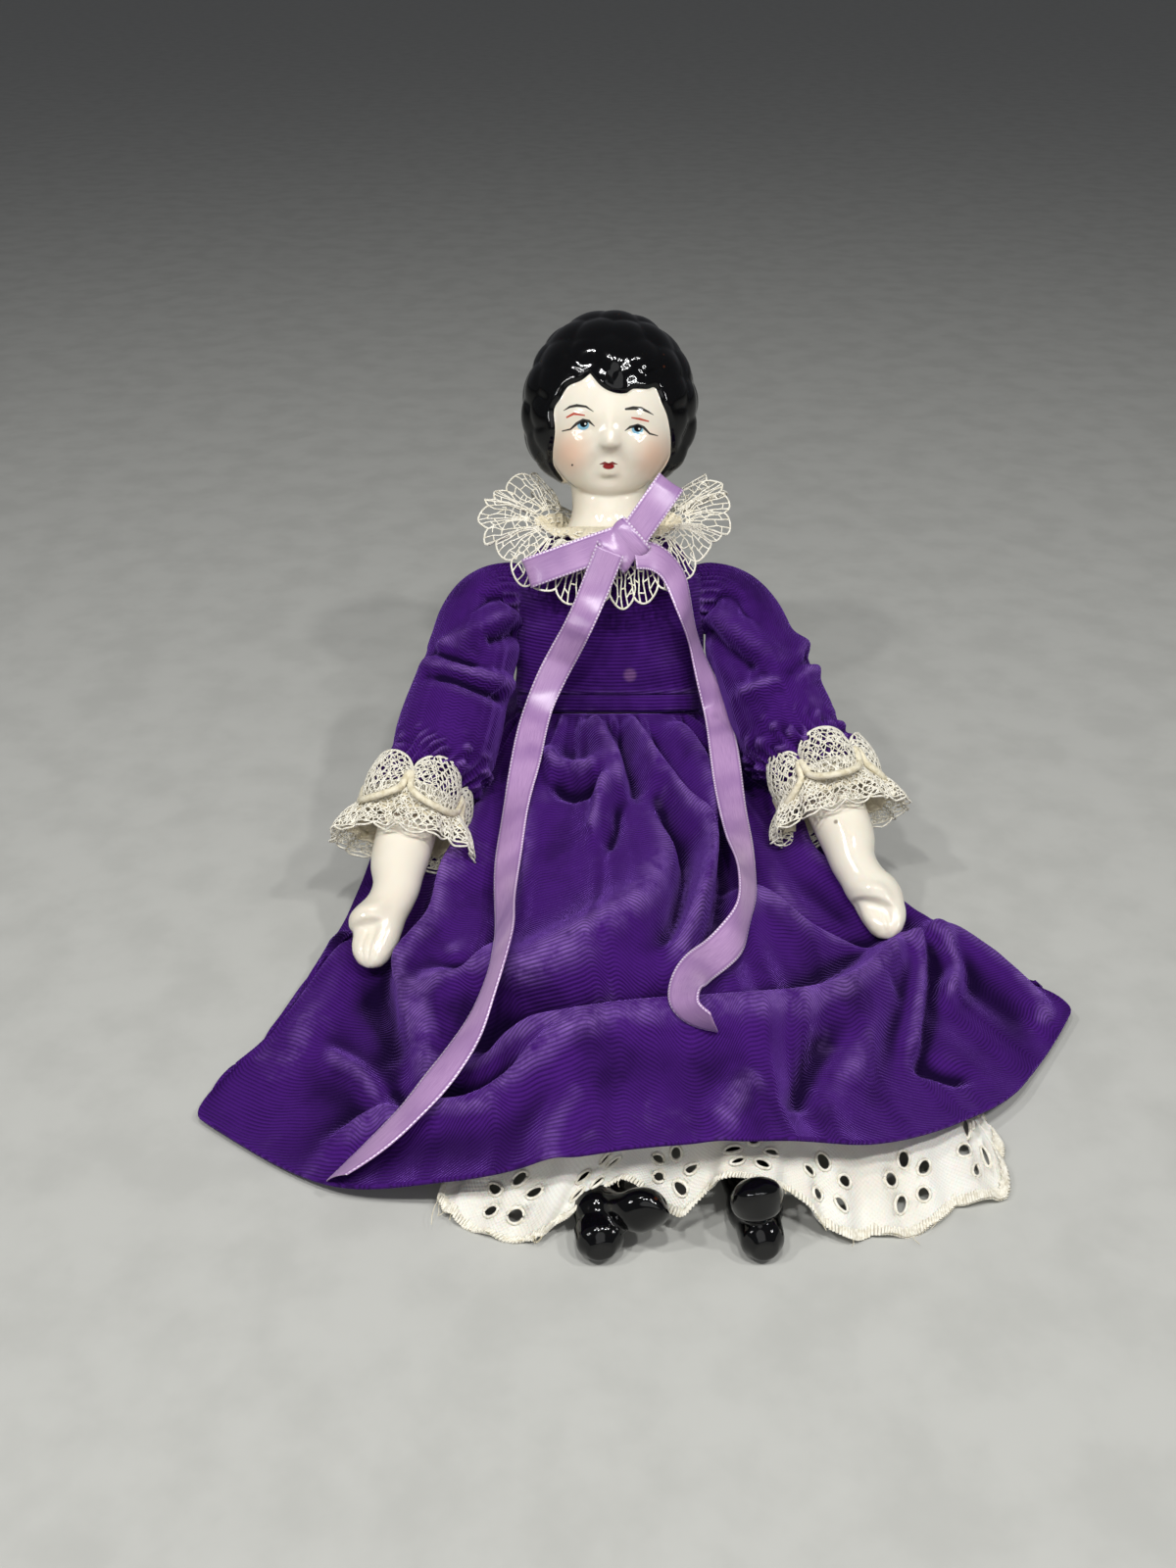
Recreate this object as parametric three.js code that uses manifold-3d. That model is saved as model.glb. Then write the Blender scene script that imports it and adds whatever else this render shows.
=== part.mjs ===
// A seated doll: china shoulder head, china hands and boots, stuffed cloth body, velvet dress.
// Millimetres, +Z up. It faces -Y, its left side is +X, and it sits on the floor at the origin.
import * as THREE from 'three';
import { mergeVertices } from 'three/addons/utils/BufferGeometryUtils.js';
import Module from 'manifold-3d';

const wasm = await Module();
wasm.setup();

// Driving dimensions, millimetres and degrees
const lean = 24;
const gap = 0.35;
const clothWall = 1.0;
const velvetWall = 1.5;
const laceWall = 0.8;
const chinaWall = 3.2;

const waistHeight = 50;
const waistHalfWidth = 28;
const waistHalfDepth = 16.5;
const seatHalfWidth = 34;
const seatHalfDepth = 26;
const shoulderHeight = 87;
const shoulderHalfWidth = 31;
const bodiceHalfWidth = 33.4;
const bodiceHalfDepth = 23;
const waistbandHeight = 6.5;

const neckHalfWidth = 14.5;
const plateHalfWidth = 28;
const plateHalfDepth = 18.5;
const plateRim = 88;
const neckBase = plateRim + 22;
const headCentre = neckBase + 41;
const headRoll = 4;
const skullHalfWidth = 27;
const skullHalfDepth = 26.5;
const skullHalfHeight = 29.7;
const faceHalfWidth = 19.5;
const hairThickness = 4.5;
const curlSize = 11;

const armRadius = 8.6;
const forearmRadius = 9.2;
const forearmLength = 72;
const sleeveRadius = 16.2;
const cuffRadius = 12.6;
const cuffFrill = 24;
const fingertipRight = [-73.5, -99, 16.5];
const fingertipLeft = [86, -85, 17];

const thighRadius = 13.6;
const thighLength = 72;
const hipSpread = 17;
const hipForward = 24;
const legLength = 176;
const calfRadius = 9.6;
const ankleRadius = 6.6;
const bootLength = 25;
const bootWidth = 13;
const heelHeight = 5;
const soleRight = [-3, -200, 7.6];
const soleLeft = [36, -198, 7.6];
const toeRollRight = -52;
const toeRollLeft = 8;

const ribbonWidth = 10;
const ribbonThickness = 0.8;

// Smaller sizes that follow from the ones above
const around = 24;
const limbAround = 12;
const stitchRadius = 0.9;
const leanBack = new THREE.Matrix4().makeRotationX(-THREE.MathUtils.degToRad(lean));
const smooth = THREE.MathUtils.smoothstep;
const mix = THREE.MathUtils.lerp;

// Looks of the materials, by eye from the photograph
const looks = {
  china: { color: '#e3dccb', roughness: 0.18, metalness: 0 },
  velvet: { color: '#48228a', roughness: 0.9, metalness: 0 },
  lace: { color: '#ddd6bf', roughness: 0.85, metalness: 0 },
  ribbon: { color: '#c3a3d2', roughness: 0.42, metalness: 0 },
  cotton: { color: '#e2ded2', roughness: 0.9, metalness: 0 },
  muslin: { color: '#d8cdb4', roughness: 0.92, metalness: 0 },
  stuffing: { color: '#e9e4d6', roughness: 1, metalness: 0 },
  cord: { color: '#cfc4a8', roughness: 0.9, metalness: 0 },
  elastic: { color: '#e8e6e0', roughness: 0.8, metalness: 0 },
  stud: { color: '#b9babd', roughness: 0.35, metalness: 1 },
};

const doll = new THREE.Group();
doll.name = 'porcelain_head_doll';

function place(name, geometry, look) {
  const mesh = new THREE.Mesh(geometry, new THREE.MeshStandardMaterial(look));
  mesh.name = name;
  doll.add(mesh);
}

// Point of the leaning upper body: across, depth towards the back, height along the torso
function torsoPoint(across, depth, height) {
  return new THREE.Vector3(across, depth, height).applyMatrix4(leanBack);
}

// Turns a skin the right way out when its volume comes out negative
function facingOut(geometry) {
  const p = geometry.attributes.position;
  const index = geometry.index.array;
  const [a, b, c] = [new THREE.Vector3(), new THREE.Vector3(), new THREE.Vector3()];
  let volume = 0;
  for (let i = 0; i < index.length; i += 3) {
    a.fromBufferAttribute(p, index[i]);
    b.fromBufferAttribute(p, index[i + 1]);
    c.fromBufferAttribute(p, index[i + 2]);
    volume += a.dot(b.cross(c));
  }
  if (volume < 0) {
    for (let i = 0; i < index.length; i += 3) {
      [index[i], index[i + 1]] = [index[i + 1], index[i]];
    }
  }
  geometry.computeVertexNormals();
  return geometry;
}

// Closed skin over rings of points: the ends are capped, or the last ring joins the first
function skin(rings, joined = false) {
  const count = rings[0].length;
  const points = rings.flat();
  const index = [];
  const spans = joined ? rings.length : rings.length - 1;
  for (let r = 0; r < spans; r++) {
    const here = r * count;
    const next = ((r + 1) % rings.length) * count;
    for (let i = 0; i < count; i++) {
      const j = (i + 1) % count;
      index.push(here + i, here + j, next + j, here + i, next + j, next + i);
    }
  }
  if (!joined) {
    for (const [start, turn] of [[0, 1], [(rings.length - 1) * count, -1]]) {
      const centre = new THREE.Vector3();
      for (let i = 0; i < count; i++) {
        centre.addScaledVector(points[start + i], 1 / count);
      }
      points.push(centre);
      for (let i = 0; i < count; i++) {
        const j = (i + 1) % count;
        const pair = turn > 0 ? [start + j, start + i] : [start + i, start + j];
        index.push(points.length - 1, ...pair);
      }
    }
  }
  const geometry = new THREE.BufferGeometry().setFromPoints(points);
  geometry.setIndex(index);
  return facingOut(geometry);
}

// Tube of cloth between two sets of rings
function wall(outside, inside) {
  return skin([...outside, ...inside.slice().reverse()], true);
}

// Solids for joining and cutting
function solid(geometry) {
  const bare = geometry.clone();
  bare.deleteAttribute('normal');
  bare.deleteAttribute('uv');
  const welded = mergeVertices(bare);
  return new wasm.Manifold(new wasm.Mesh({
    numProp: 3,
    vertProperties: welded.attributes.position.array,
    triVerts: new Uint32Array(welded.index.array),
  }));
}

function shapeOf(manifold) {
  const mesh = manifold.getMesh();
  const geometry = new THREE.BufferGeometry();
  geometry.setAttribute('position', new THREE.BufferAttribute(mesh.vertProperties, mesh.numProp));
  geometry.setIndex(new THREE.BufferAttribute(mesh.triVerts, 1));
  geometry.computeVertexNormals();
  return geometry;
}

// Value of one column of a list of stations, straight between them, at a place along the first column
function station(stations, at, column) {
  const last = stations.length - 1;
  if (at <= stations[0][0]) {
    return stations[0][column];
  }
  for (let i = 0; i < last; i++) {
    if (at <= stations[i + 1][0]) {
      const part = (at - stations[i][0]) / (stations[i + 1][0] - stations[i][0]);
      return mix(stations[i][column], stations[i + 1][column], part);
    }
  }
  return stations[last][column];
}

// Rounded ring across the torso; squareness 2 is an ellipse, more is boxier
function torsoRing(height, halfWidth, halfDepth, squareness = 2.2, count = around) {
  const ring = [];
  for (let i = 0; i < count; i++) {
    const angle = (2 * Math.PI * i) / count;
    const [s, c] = [Math.sin(angle), Math.cos(angle)];
    const reach = (Math.abs(s) ** squareness + Math.abs(c) ** squareness) ** (-1 / squareness);
    ring.push(new THREE.Vector3(halfWidth * s * reach, -halfDepth * c * reach, height));
  }
  return ring;
}

function torsoRings(stations, grow, squareness) {
  return stations.map(([height, w, d]) => torsoRing(height, w + grow, d + grow, squareness));
}

// Ring across a limb: middle, its two directions and its two radii
function limbRing(middle, first, second, radiusFirst, radiusSecond, count = limbAround) {
  const ring = [];
  for (let i = 0; i < count; i++) {
    const angle = (2 * Math.PI * i) / count;
    ring.push(middle.clone()
      .addScaledVector(first, radiusFirst * Math.cos(angle))
      .addScaledVector(second, radiusSecond * Math.sin(angle)));
  }
  return ring;
}

// China shoulder plate: height, half width, half depth, from the rim up into the head
const plate = [
  [plateRim, plateHalfWidth, plateHalfDepth],
  [plateRim + 5, plateHalfWidth - 0.6, plateHalfDepth - 0.3],
  [plateRim + 11, plateHalfWidth - 3.2, plateHalfDepth - 1.2],
  [neckBase - 6, plateHalfWidth - 7.2, plateHalfDepth - 2.4],
  [neckBase - 2.5, neckHalfWidth + 2.8, neckHalfWidth + 0.6],
  [neckBase + 2, neckHalfWidth, neckHalfWidth - 1],
  [neckBase + 20, neckHalfWidth - 0.4, neckHalfWidth - 1.4],
];

// Cloth torso: height, half width, half depth, from below the seat up into the plate
const torso = [
  [-24, seatHalfWidth - 4, seatHalfDepth - 2],
  [0, seatHalfWidth - 2, seatHalfDepth - 1],
  [15, seatHalfWidth, seatHalfDepth],
  [32, waistHalfWidth - 0.3, mix(seatHalfDepth, waistHalfDepth, 0.7)],
  [waistHeight, waistHalfWidth, waistHalfDepth],
  [waistHeight + 16, waistHalfWidth + 1.2, waistHalfDepth + 0.8],
  [plateRim - 7, shoulderHalfWidth - 1.2, waistHalfDepth + 1],
  [plateRim - 2, plateHalfWidth - 2.2, plateHalfDepth - chinaWall - 0.8],
  [plateRim + 1, plateHalfWidth - chinaWall - 1, plateHalfDepth - chinaWall - 1],
  [plateRim + 8, plateHalfWidth - chinaWall - 2.4, plateHalfDepth - chinaWall - 1.8],
  [plateRim + 14, plateHalfWidth - chinaWall - 7, plateHalfDepth - chinaWall - 3.4],
];

// Room for the thighs: a bar across the hips, what lies before it, and what lies under it when they hang
const hip = new THREE.Vector3(0, -hipForward, thighRadius + 1.4);

function hipRoom(radius) {
  const width = 3 * seatHalfWidth;
  const bar = new THREE.CylinderGeometry(radius, radius, width, 18);
  bar.rotateZ(Math.PI / 2);
  bar.translate(hip.x, hip.y, hip.z);
  const front = new THREE.BoxGeometry(width, seatHalfDepth, 3 * radius);
  front.translate(hip.x, hip.y - seatHalfDepth / 2, hip.z);
  const below = new THREE.BoxGeometry(width, seatHalfDepth + radius, 2 * radius);
  below.translate(hip.x, hip.y + (radius - seatHalfDepth) / 2, hip.z - radius);
  return solid(bar).add(solid(front)).add(solid(below));
}

const workSpace = 400;

function aboveFloor(height) {
  const slab = new THREE.BoxGeometry(workSpace, workSpace, workSpace);
  slab.translate(0, 0, height + workSpace / 2);
  return solid(slab);
}

function torsoBlock(inset, topRaise) {
  const rings = torsoRings(torso, -inset, 2);
  if (topRaise) {
    const [height, width, depth] = torso.at(-1);
    rings.push(torsoRing(height + topRaise, width - inset, depth - inset, 2));
  }
  return solid(skin(rings).applyMatrix4(leanBack))
    .intersect(aboveFloor(inset))
    .subtract(hipRoom(thighRadius + gap + inset));
}

function addTorso() {
  const stuffingInset = clothWall + gap;
  place('torso_cloth', shapeOf(torsoBlock(0, 0).subtract(torsoBlock(clothWall, 6))), looks.muslin);
  place('torso_stuffing', shapeOf(torsoBlock(stuffingInset, 0)), looks.stuffing);
}

// Soft bump of the given size on the face, sideways and up from the head's middle
function bump(point, across, up, halfWidth, halfHeight, height) {
  const reach = ((point.x - across) / halfWidth) ** 2 + ((point.z - up) / halfHeight) ** 2;
  return height * Math.exp(-reach);
}

// Rows of moulded curls, each row shifted by half a curl from the one below
function curl(azimuth, elevation, radius) {
  const rowStep = curlSize / radius;
  const row = Math.round(elevation / rowStep);
  const rowElevation = row * rowStep;
  const number = Math.max(1, Math.round((2 * Math.PI * radius * Math.cos(rowElevation)) / curlSize));
  const turn = (azimuth / (2 * Math.PI)) * number + 0.5 * (row % 2);
  const across = (turn - Math.round(turn)) * 2;
  const up = ((elevation - rowElevation) / rowStep) * 2;
  return Math.sqrt(Math.max(0, 1 - 0.5 * (across * across + up * up)));
}

// Forms of the face: sideways and up from the head's middle, half width, half height, how far they stand out
const faceForms = [
  [0, -14.5, 2.4, 4, 3.2],
  [0, -8.5, 1.8, 6, 1.1],
  [0, -22.5, 4.5, 2, 1.1],
  [11, -17, 6, 6, 0.9],
  [-11, -17, 6, 6, 0.9],
  [0, -28, 5, 3, 1.6],
  [9.2, -8.5, 4, 2.6, -0.9],
  [-9.2, -8.5, 4, 2.6, -0.9],
];

function headPoint(azimuth, elevation) {
  const direction = new THREE.Vector3(
    Math.cos(elevation) * Math.sin(azimuth),
    -Math.cos(elevation) * Math.cos(azimuth),
    Math.sin(elevation));
  const half = new THREE.Vector3(skullHalfWidth, skullHalfDepth, skullHalfHeight);
  const skull = 1 / direction.clone().divide(half).length();
  const point = direction.clone().multiplyScalar(skull);
  const front = smooth(-point.y, 3, 11);
  const oval = Math.hypot(point.x / faceHalfWidth, (point.z + 11) / 20);
  const face = front * (1 - smooth(oval, 0.9, 1.15));
  const chin = smooth(-point.z, skullHalfHeight * 0.55, skullHalfHeight);
  const nape = smooth(-point.z, skullHalfHeight * 0.75, skullHalfHeight);
  const hair = (1 - face) * (1 - nape) * hairThickness;
  let radius = skull + hair * (0.72 + 0.28 * curl(azimuth, elevation, skull));
  for (const form of faceForms) {
    radius += front * bump(point, ...form);
  }
  const out = direction.multiplyScalar(radius);
  out.x *= 1 - 0.16 * chin * front;
  return out;
}

function headSkin(columns, rows) {
  const rings = [];
  for (let r = 1; r < rows; r++) {
    const elevation = mix(-Math.PI / 2, Math.PI / 2, r / rows);
    const ring = [];
    for (let i = 0; i < columns; i++) {
      ring.push(headPoint((2 * Math.PI * i) / columns, elevation));
    }
    rings.push(ring);
  }
  return skin(rings);
}

// Sew holes near the rim of the plate: across and front or back
const sewHoles = [[-15, -1], [15, -1], [-15, 1], [15, 1]];
const sewHeight = plateRim + 3.5;

function addShoulderHead() {
  const head = headSkin(32, 20);
  head.rotateY(THREE.MathUtils.degToRad(headRoll));
  head.translate(0, 0, headCentre);
  const hollowHead = new THREE.SphereGeometry(1, 16, 10);
  const hollowScale = 1 - chinaWall / skullHalfWidth;
  hollowHead.rotateX(Math.PI / 2);
  hollowHead.scale(skullHalfWidth, skullHalfDepth, skullHalfHeight);
  hollowHead.scale(hollowScale, hollowScale, hollowScale);
  hollowHead.translate(0, 0, headCentre);
  const hollowPlate = plate.map(([height, w, d]) => torsoRing(height, w - chinaWall, d - chinaWall));
  hollowPlate.unshift(torsoRing(plateRim - 4, plateHalfWidth - chinaWall, plateHalfDepth - chinaWall));
  let china = solid(head)
    .add(solid(skin(torsoRings(plate, 0))))
    .subtract(solid(skin(hollowPlate)).add(solid(hollowHead)));
  for (const [across, side] of sewHoles) {
    const hole = new THREE.CylinderGeometry(stitchRadius + gap, stitchRadius + gap, 16, 8);
    hole.translate(across, side * plateHalfDepth, sewHeight);
    china = china.subtract(solid(hole));
  }
  place('shoulder_head', shapeOf(china).applyMatrix4(leanBack), looks.china);
}

// Stitch through a sew hole, with a flat knot outside the plate
function addStitches() {
  const [, width, depth] = plate[1];
  sewHoles.forEach(([across, side], number) => {
    const reach = (1 - (Math.abs(across) / width) ** 2.2) ** (1 / 2.2);
    const face = side * depth * reach;
    const thread = new THREE.CylinderGeometry(stitchRadius, stitchRadius, chinaWall, 8);
    const knot = new THREE.CylinderGeometry(2 * stitchRadius, 2 * stitchRadius, 0.7, 8);
    thread.translate(across, face - side * (chinaWall / 2 - 0.8), sewHeight);
    knot.translate(across, face + side * 1.05, sewHeight);
    const stitch = shapeOf(solid(thread).add(solid(knot))).applyMatrix4(leanBack);
    place(`plate_stitch_${number + 1}`, stitch, looks.cord);
  });
}

// Bodice: height, half width, half depth, from the waist up over the plate to the neckline
const bodiceFoot = waistHeight + 3;
const bodiceClear = 1.6;
const neckline = neckBase - 3;
const bodice = [
  [bodiceFoot, bodiceHalfWidth - 0.8, bodiceHalfDepth - 1.2],
  [waistHeight + 16, bodiceHalfWidth, bodiceHalfDepth],
  [shoulderHeight - 7, bodiceHalfWidth, bodiceHalfDepth + 0.6],
  [plateRim + 4, bodiceHalfWidth - 0.6, bodiceHalfDepth + 0.4],
  [plateRim + 10, plateHalfWidth - 2.6 + bodiceClear + velvetWall, bodiceHalfDepth - 0.4],
  [neckBase - 6, plateHalfWidth - 7 + bodiceClear + velvetWall, bodiceHalfDepth - 1.6],
  [neckline, neckHalfWidth + 4.4 + velvetWall, neckHalfWidth + 3.4 + velvetWall],
];
const armhole = armRadius + 2.6;
const openingWidth = 0.8;
const placketWidth = 11;
const studRadius = 2.6;
const studRoom = 2.1;
const studHeights = [5, 16, 27].map((above) => bodiceFoot + above);
const seamedHeight = 2;

function backOf(height) {
  return station(bodice, height, 2) - velvetWall;
}

function addBodice() {
  const cloth = solid(wall(torsoRings(bodice, 0, 2.8), torsoRings(bodice, -velvetWall, 2.8)));
  const armholes = new THREE.CylinderGeometry(armhole, armhole, 6 * shoulderHalfWidth, 20);
  armholes.rotateZ(Math.PI / 2);
  armholes.translate(0, 0, shoulderHeight);
  const openingHeight = 2 * (neckline - bodiceFoot);
  const opening = new THREE.BoxGeometry(openingWidth, bodiceHalfDepth, openingHeight);
  opening.translate(0, bodiceHalfDepth, bodiceFoot + seamedHeight + openingHeight / 2);
  const cut = cloth.subtract(solid(armholes)).subtract(solid(opening));
  place('bodice', shapeOf(cut).applyMatrix4(leanBack), looks.velvet);
}

// Strip under the back opening, and the press studs between the two
function addBackClosing() {
  const half = placketWidth / 2;
  const rings = [bodiceFoot + seamedHeight, waistHeight + 16, plateRim - 3].map((height) => {
    const outer = backOf(height) - studRoom;
    const inner = outer - clothWall;
    const corners = [[-half, outer], [half, outer], [half, inner], [-half, inner]];
    return corners.map(([x, y]) => new THREE.Vector3(x, y, height));
  });
  place('back_placket', skin(rings).applyMatrix4(leanBack), looks.cotton);
  const profile = [[0, 0], [studRadius, 0], [studRadius, 0.5], [0.54 * studRadius, 0.9], [0, 0.9]];
  studHeights.forEach((height, number) => {
    const stud = new THREE.LatheGeometry(profile.map((point) => new THREE.Vector2(...point)), 9);
    stud.translate(0, backOf(height) - 1.5, height);
    place(`press_stud_${number + 1}`, stud.applyMatrix4(leanBack), looks.stud);
  });
}

const skirtTop = waistHeight + 3 - waistbandHeight - 2 * gap;

function addWaistband() {
  const foot = skirtTop + gap;
  const heights = [foot, foot + waistbandHeight];
  const [, width, depth] = bodice[0];
  const outside = heights.map((height) => torsoRing(height, width, depth, 2.8));
  const inside = heights.map((height) => torsoRing(height, width - 1.8, depth - 1.8, 2.8));
  place('waistband', wall(outside, inside).applyMatrix4(leanBack), looks.velvet);
}

// Hem of the skirt, from the middle of the front round by the doll's left side
const hem = [
  [10, -190, 33], [40, -187, 32], [66, -178, 22], [92, -160, 12], [116, -138, 6], [134, -102, 4],
  [113, -76, 4], [93, -48, 4], [84, -10, 4], [74, 34, 4], [48, 72, 4],
  [8, 88, 4], [-40, 76, 4], [-70, 38, 4], [-82, -5, 4], [-86, -42, 4],
  [-90, -78, 4], [-103, -116, 3], [-111, -146, 3], [-78, -174, 4], [-42, -183, 14], [-12, -190, 29],
];
const hemCurve = new THREE.CatmullRomCurve3(hem.map((p) => new THREE.Vector3(...p)), true);
const foldHeight = 4.5;
const foldCount = 9;
const legStack = 6;
const floorClear = 2.1;

// Height that the legs hold the skirt up to
function overLegs(x, y) {
  let best = 0;
  for (const [side, sole] of [[-1, soleRight], [1, soleLeft]]) {
    const along = THREE.MathUtils.clamp((hip.y - y) / (hip.y - sole[1]), 0, 1);
    const middle = mix(side * hipSpread, sole[0], along);
    const radius = mix(thighRadius, calfRadius, along) + legStack;
    const away = Math.abs(x - middle);
    const lift = mix(hip.z, soleRight[2] + 4, along) + radius - (away * away) / (2 * radius);
    best = Math.max(best, lift);
  }
  return best;
}

// Skirt without its main folds: turn runs 0 to 1 round the waist from the front, down runs 0 to 1 to the hem
function plainSkirt(turn, down) {
  const angle = 2 * Math.PI * turn;
  const [, width, depth] = bodice[0];
  const top = torsoPoint((width - 0.3) * Math.sin(angle), -(depth - 0.3) * Math.cos(angle), skirtTop);
  const edge = hemCurve.getPoint(((turn % 1) + 1) % 1);
  const front = 0.5 + 0.5 * Math.cos(angle);
  const steepness = mix(mix(2, 2.7, smooth(front, 0.15, 0.4)), 0.95, smooth(front, 0.55, 1));
  const drop = 1 - (1 - down) ** steepness;
  const point = new THREE.Vector3(
    mix(top.x, edge.x, down),
    mix(top.y, edge.y, down),
    mix(top.z, edge.z, drop));
  const lap = overLegs(point.x, point.y);
  const ease = smooth(down, 0, 0.3) * (1 - smooth(down, 0.93, 1));
  point.z = mix(point.z, Math.max(point.z, lap), ease);
  const fullness = (0.35 + 0.65 * front) * (1 - 0.6 * smooth(front, 0.55, 0.8));
  const swell = Math.sin(Math.PI * Math.min(1, 1.15 * down)) * fullness;
  point.z += foldHeight * swell * (0.5 + 0.5 * Math.cos(foldCount * angle + 0.8 * Math.sin(2 * angle)));
  point.z = Math.max(point.z, Math.min(top.z, floorClear + 0.2));
  return point;
}

// Main folds over the lap: the line of each crest seen from above, its height and its reach to either side
const lapFolds = [
  { name: 'mound over the thighs', rise: 10, reach: 11, line: [[15, -76], [6, -108], [-16, -124]] },
  { name: 'rolled end of the mound', rise: 7, reach: 8, line: [[-52, -112], [-57, -136]] },
  {
    name: 'shelf across the shins',
    rise: 9,
    reach: 9,
    line: [[-16, -153], [8, -154], [30, -152], [55, -135], [80, -101]],
  },
  { name: 'fold beside the right hand', rise: 8, reach: 7, line: [[-47, -84], [-51, -94], [-58, -107]] },
  { name: 'hanging pleat', rise: 9, reach: 6, line: [[9, -22], [18, -59], [22, -82], [14, -116]] },
  { name: 'fold to the left hand', rise: 5, reach: 8, line: [[46, -97], [74, -96]] },
  { name: 'fold at the left corner', rise: 5, reach: 7, line: [[95, -98], [90, -118]] },
  { name: 'roll above the hem', rise: 4, reach: 7, line: [[-36, -170], [-12, -168]] },
];

function awayFrom(line, x, y) {
  let nearest = Infinity;
  for (let i = 1; i < line.length; i++) {
    const [startX, startY] = line[i - 1];
    const runX = line[i][0] - startX;
    const runY = line[i][1] - startY;
    const along = ((x - startX) * runX + (y - startY) * runY) / (runX * runX + runY * runY);
    const part = THREE.MathUtils.clamp(along, 0, 1);
    nearest = Math.min(nearest, Math.hypot(x - startX - part * runX, y - startY - part * runY));
  }
  return nearest;
}

function skirtPoint(turn, down) {
  const point = plainSkirt(turn, down);
  const rises = lapFolds.map(({ rise, reach, line }) => {
    const away = awayFrom(line, point.x, point.y) / reach;
    return rise * Math.exp(-away * away);
  });
  point.z += Math.max(...rises) * smooth(down, 0.03, 0.14) * (1 - smooth(down, 0.92, 1));
  return point;
}

// Point set in below a draped surface, square to it
function under(surface, turn, down, inset) {
  const step = 0.004;
  const low = Math.max(0, down - step);
  const high = Math.min(1, down + step);
  const along = surface(turn, high).sub(surface(turn, low));
  const across = surface(turn + step, down).sub(surface(turn - step, down));
  const normal = along.cross(across).normalize();
  return surface(turn, down).addScaledVector(normal, -inset);
}

function drapedRing(surface, count, downAt, inset) {
  const ring = [];
  for (let i = 0; i < count; i++) {
    const turn = i / count;
    ring.push(under(surface, turn, downAt(turn), inset));
  }
  return ring;
}

// Ring of cloth that follows a draped surface, from its top edge to its lower edge
function draped(surface, count, downs, inset, thickness) {
  const outside = downs.map((down) => drapedRing(surface, count, () => down, inset));
  const inside = downs.map((down) => drapedRing(surface, count, () => down, inset + thickness));
  return wall(outside, inside);
}

const petticoatAround = 44;
const skirtAround = 47;
const skirtDowns = [0, 0.06, 0.14, 0.23, 0.33, 0.43, 0.53, 0.62, 0.71, 0.8, 0.9, 1];
const frontShare = 0.45;

// Steps round the skirt lie closer together in front, where its folds are
function frontward(part) {
  return part - (frontShare / (2 * Math.PI)) * Math.sin(2 * Math.PI * part);
}

function addSkirt() {
  const surface = (part, down) => skirtPoint(frontward(part), down);
  place('skirt', draped(surface, skirtAround, skirtDowns, 0, velvetWall), looks.velvet);
}

// How far down the skirt the petticoat reaches: nearly to the hem in front, less elsewhere
function petticoatEnd(turn) {
  const fromFront = Math.abs((((turn + 0.46) % 1) + 1) % 1 - 0.5);
  return mix(0.95, 0.5, smooth(fromFront, 0.11, 0.165));
}

const petticoatInset = velvetWall + 2.3;
const petticoatTop = 0.05;

function petticoatPoint(turn, down) {
  return under(plainSkirt, turn, mix(petticoatTop, petticoatEnd(turn), down), petticoatInset);
}

function addPetticoat() {
  const downs = [0, 0.2, 0.45, 0.72, 1];
  place('petticoat', draped(petticoatPoint, petticoatAround, downs, 0, clothWall), looks.cotton);
  const elastic = draped(petticoatPoint, petticoatAround, [0.005, 0.03], clothWall + gap, 0.8);
  place('petticoat_elastic', elastic, looks.elastic);
}

// Hem of the flounce where it shows in front of the skirt: turn, then the place
const flounceFront = [
  [-0.14, -58, -170, 2.4], [-0.091, -46, -181, 2.4], [-0.045, -21, -190, 2.4], [-0.02, -13, -190, 13],
  [0, 4, -187.6, 23.5], [0.025, 22, -186, 27], [0.05, 37, -186.6, 24.5], [0.07, 52, -189, 12],
  [0.091, 62, -189, 2.4], [0.136, 88, -179, 2.4], [0.182, 106, -165, 2.4], [0.22, 108, -146, 2.4],
];

function flouncePoint(turn, down) {
  const whole = ((turn % 1) + 1) % 1;
  const fromFront = whole > 0.5 ? whole - 1 : whole;
  const end = petticoatEnd(turn);
  const inset = petticoatInset + clothWall + 4 * gap;
  const top = under(plainSkirt, turn, end - 0.01, inset);
  const low = under(plainSkirt, turn, Math.min(1, end + 0.08), inset);
  low.z = Math.max(low.z, floorClear);
  const seen = smooth(fromFront, -0.12, -0.08) * (1 - smooth(fromFront, 0.165, 0.2));
  const [x, y, z] = [1, 2, 3].map((column) => station(flounceFront, fromFront, column));
  const front = new THREE.Vector3(x, y, z);
  const edge = low.lerp(front, seen);
  return top.lerp(edge, down);
}

function addFlounce() {
  place('eyelet_flounce', draped(flouncePoint, petticoatAround, [0, 0.5, 1], 0, clothWall), looks.cotton);
}

// Path of an arm from the shoulder seam: straight out of the armhole, a bend, then to the fingertips
function armPath(side, fingertip) {
  const seam = torsoPoint(side * shoulderHalfWidth, 0, shoulderHeight);
  const out = torsoPoint(side * (bodiceHalfWidth + 3), 0, shoulderHeight);
  const bend = torsoPoint(side * (bodiceHalfWidth + 15), 0, shoulderHeight);
  const tip = new THREE.Vector3(...fingertip);
  const straight = bend.clone().lerp(tip, 0.14);
  const path = new THREE.CurvePath();
  path.add(new THREE.LineCurve3(seam, out));
  path.add(new THREE.QuadraticBezierCurve3(out, bend, straight));
  path.add(new THREE.LineCurve3(straight, tip));
  const above = new THREE.Vector3(side, 0, 0).cross(tip.clone().sub(bend)).normalize();
  if (above.z < 0) {
    above.negate();
  }
  return { path, above, length: path.getLength(), side };
}

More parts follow.
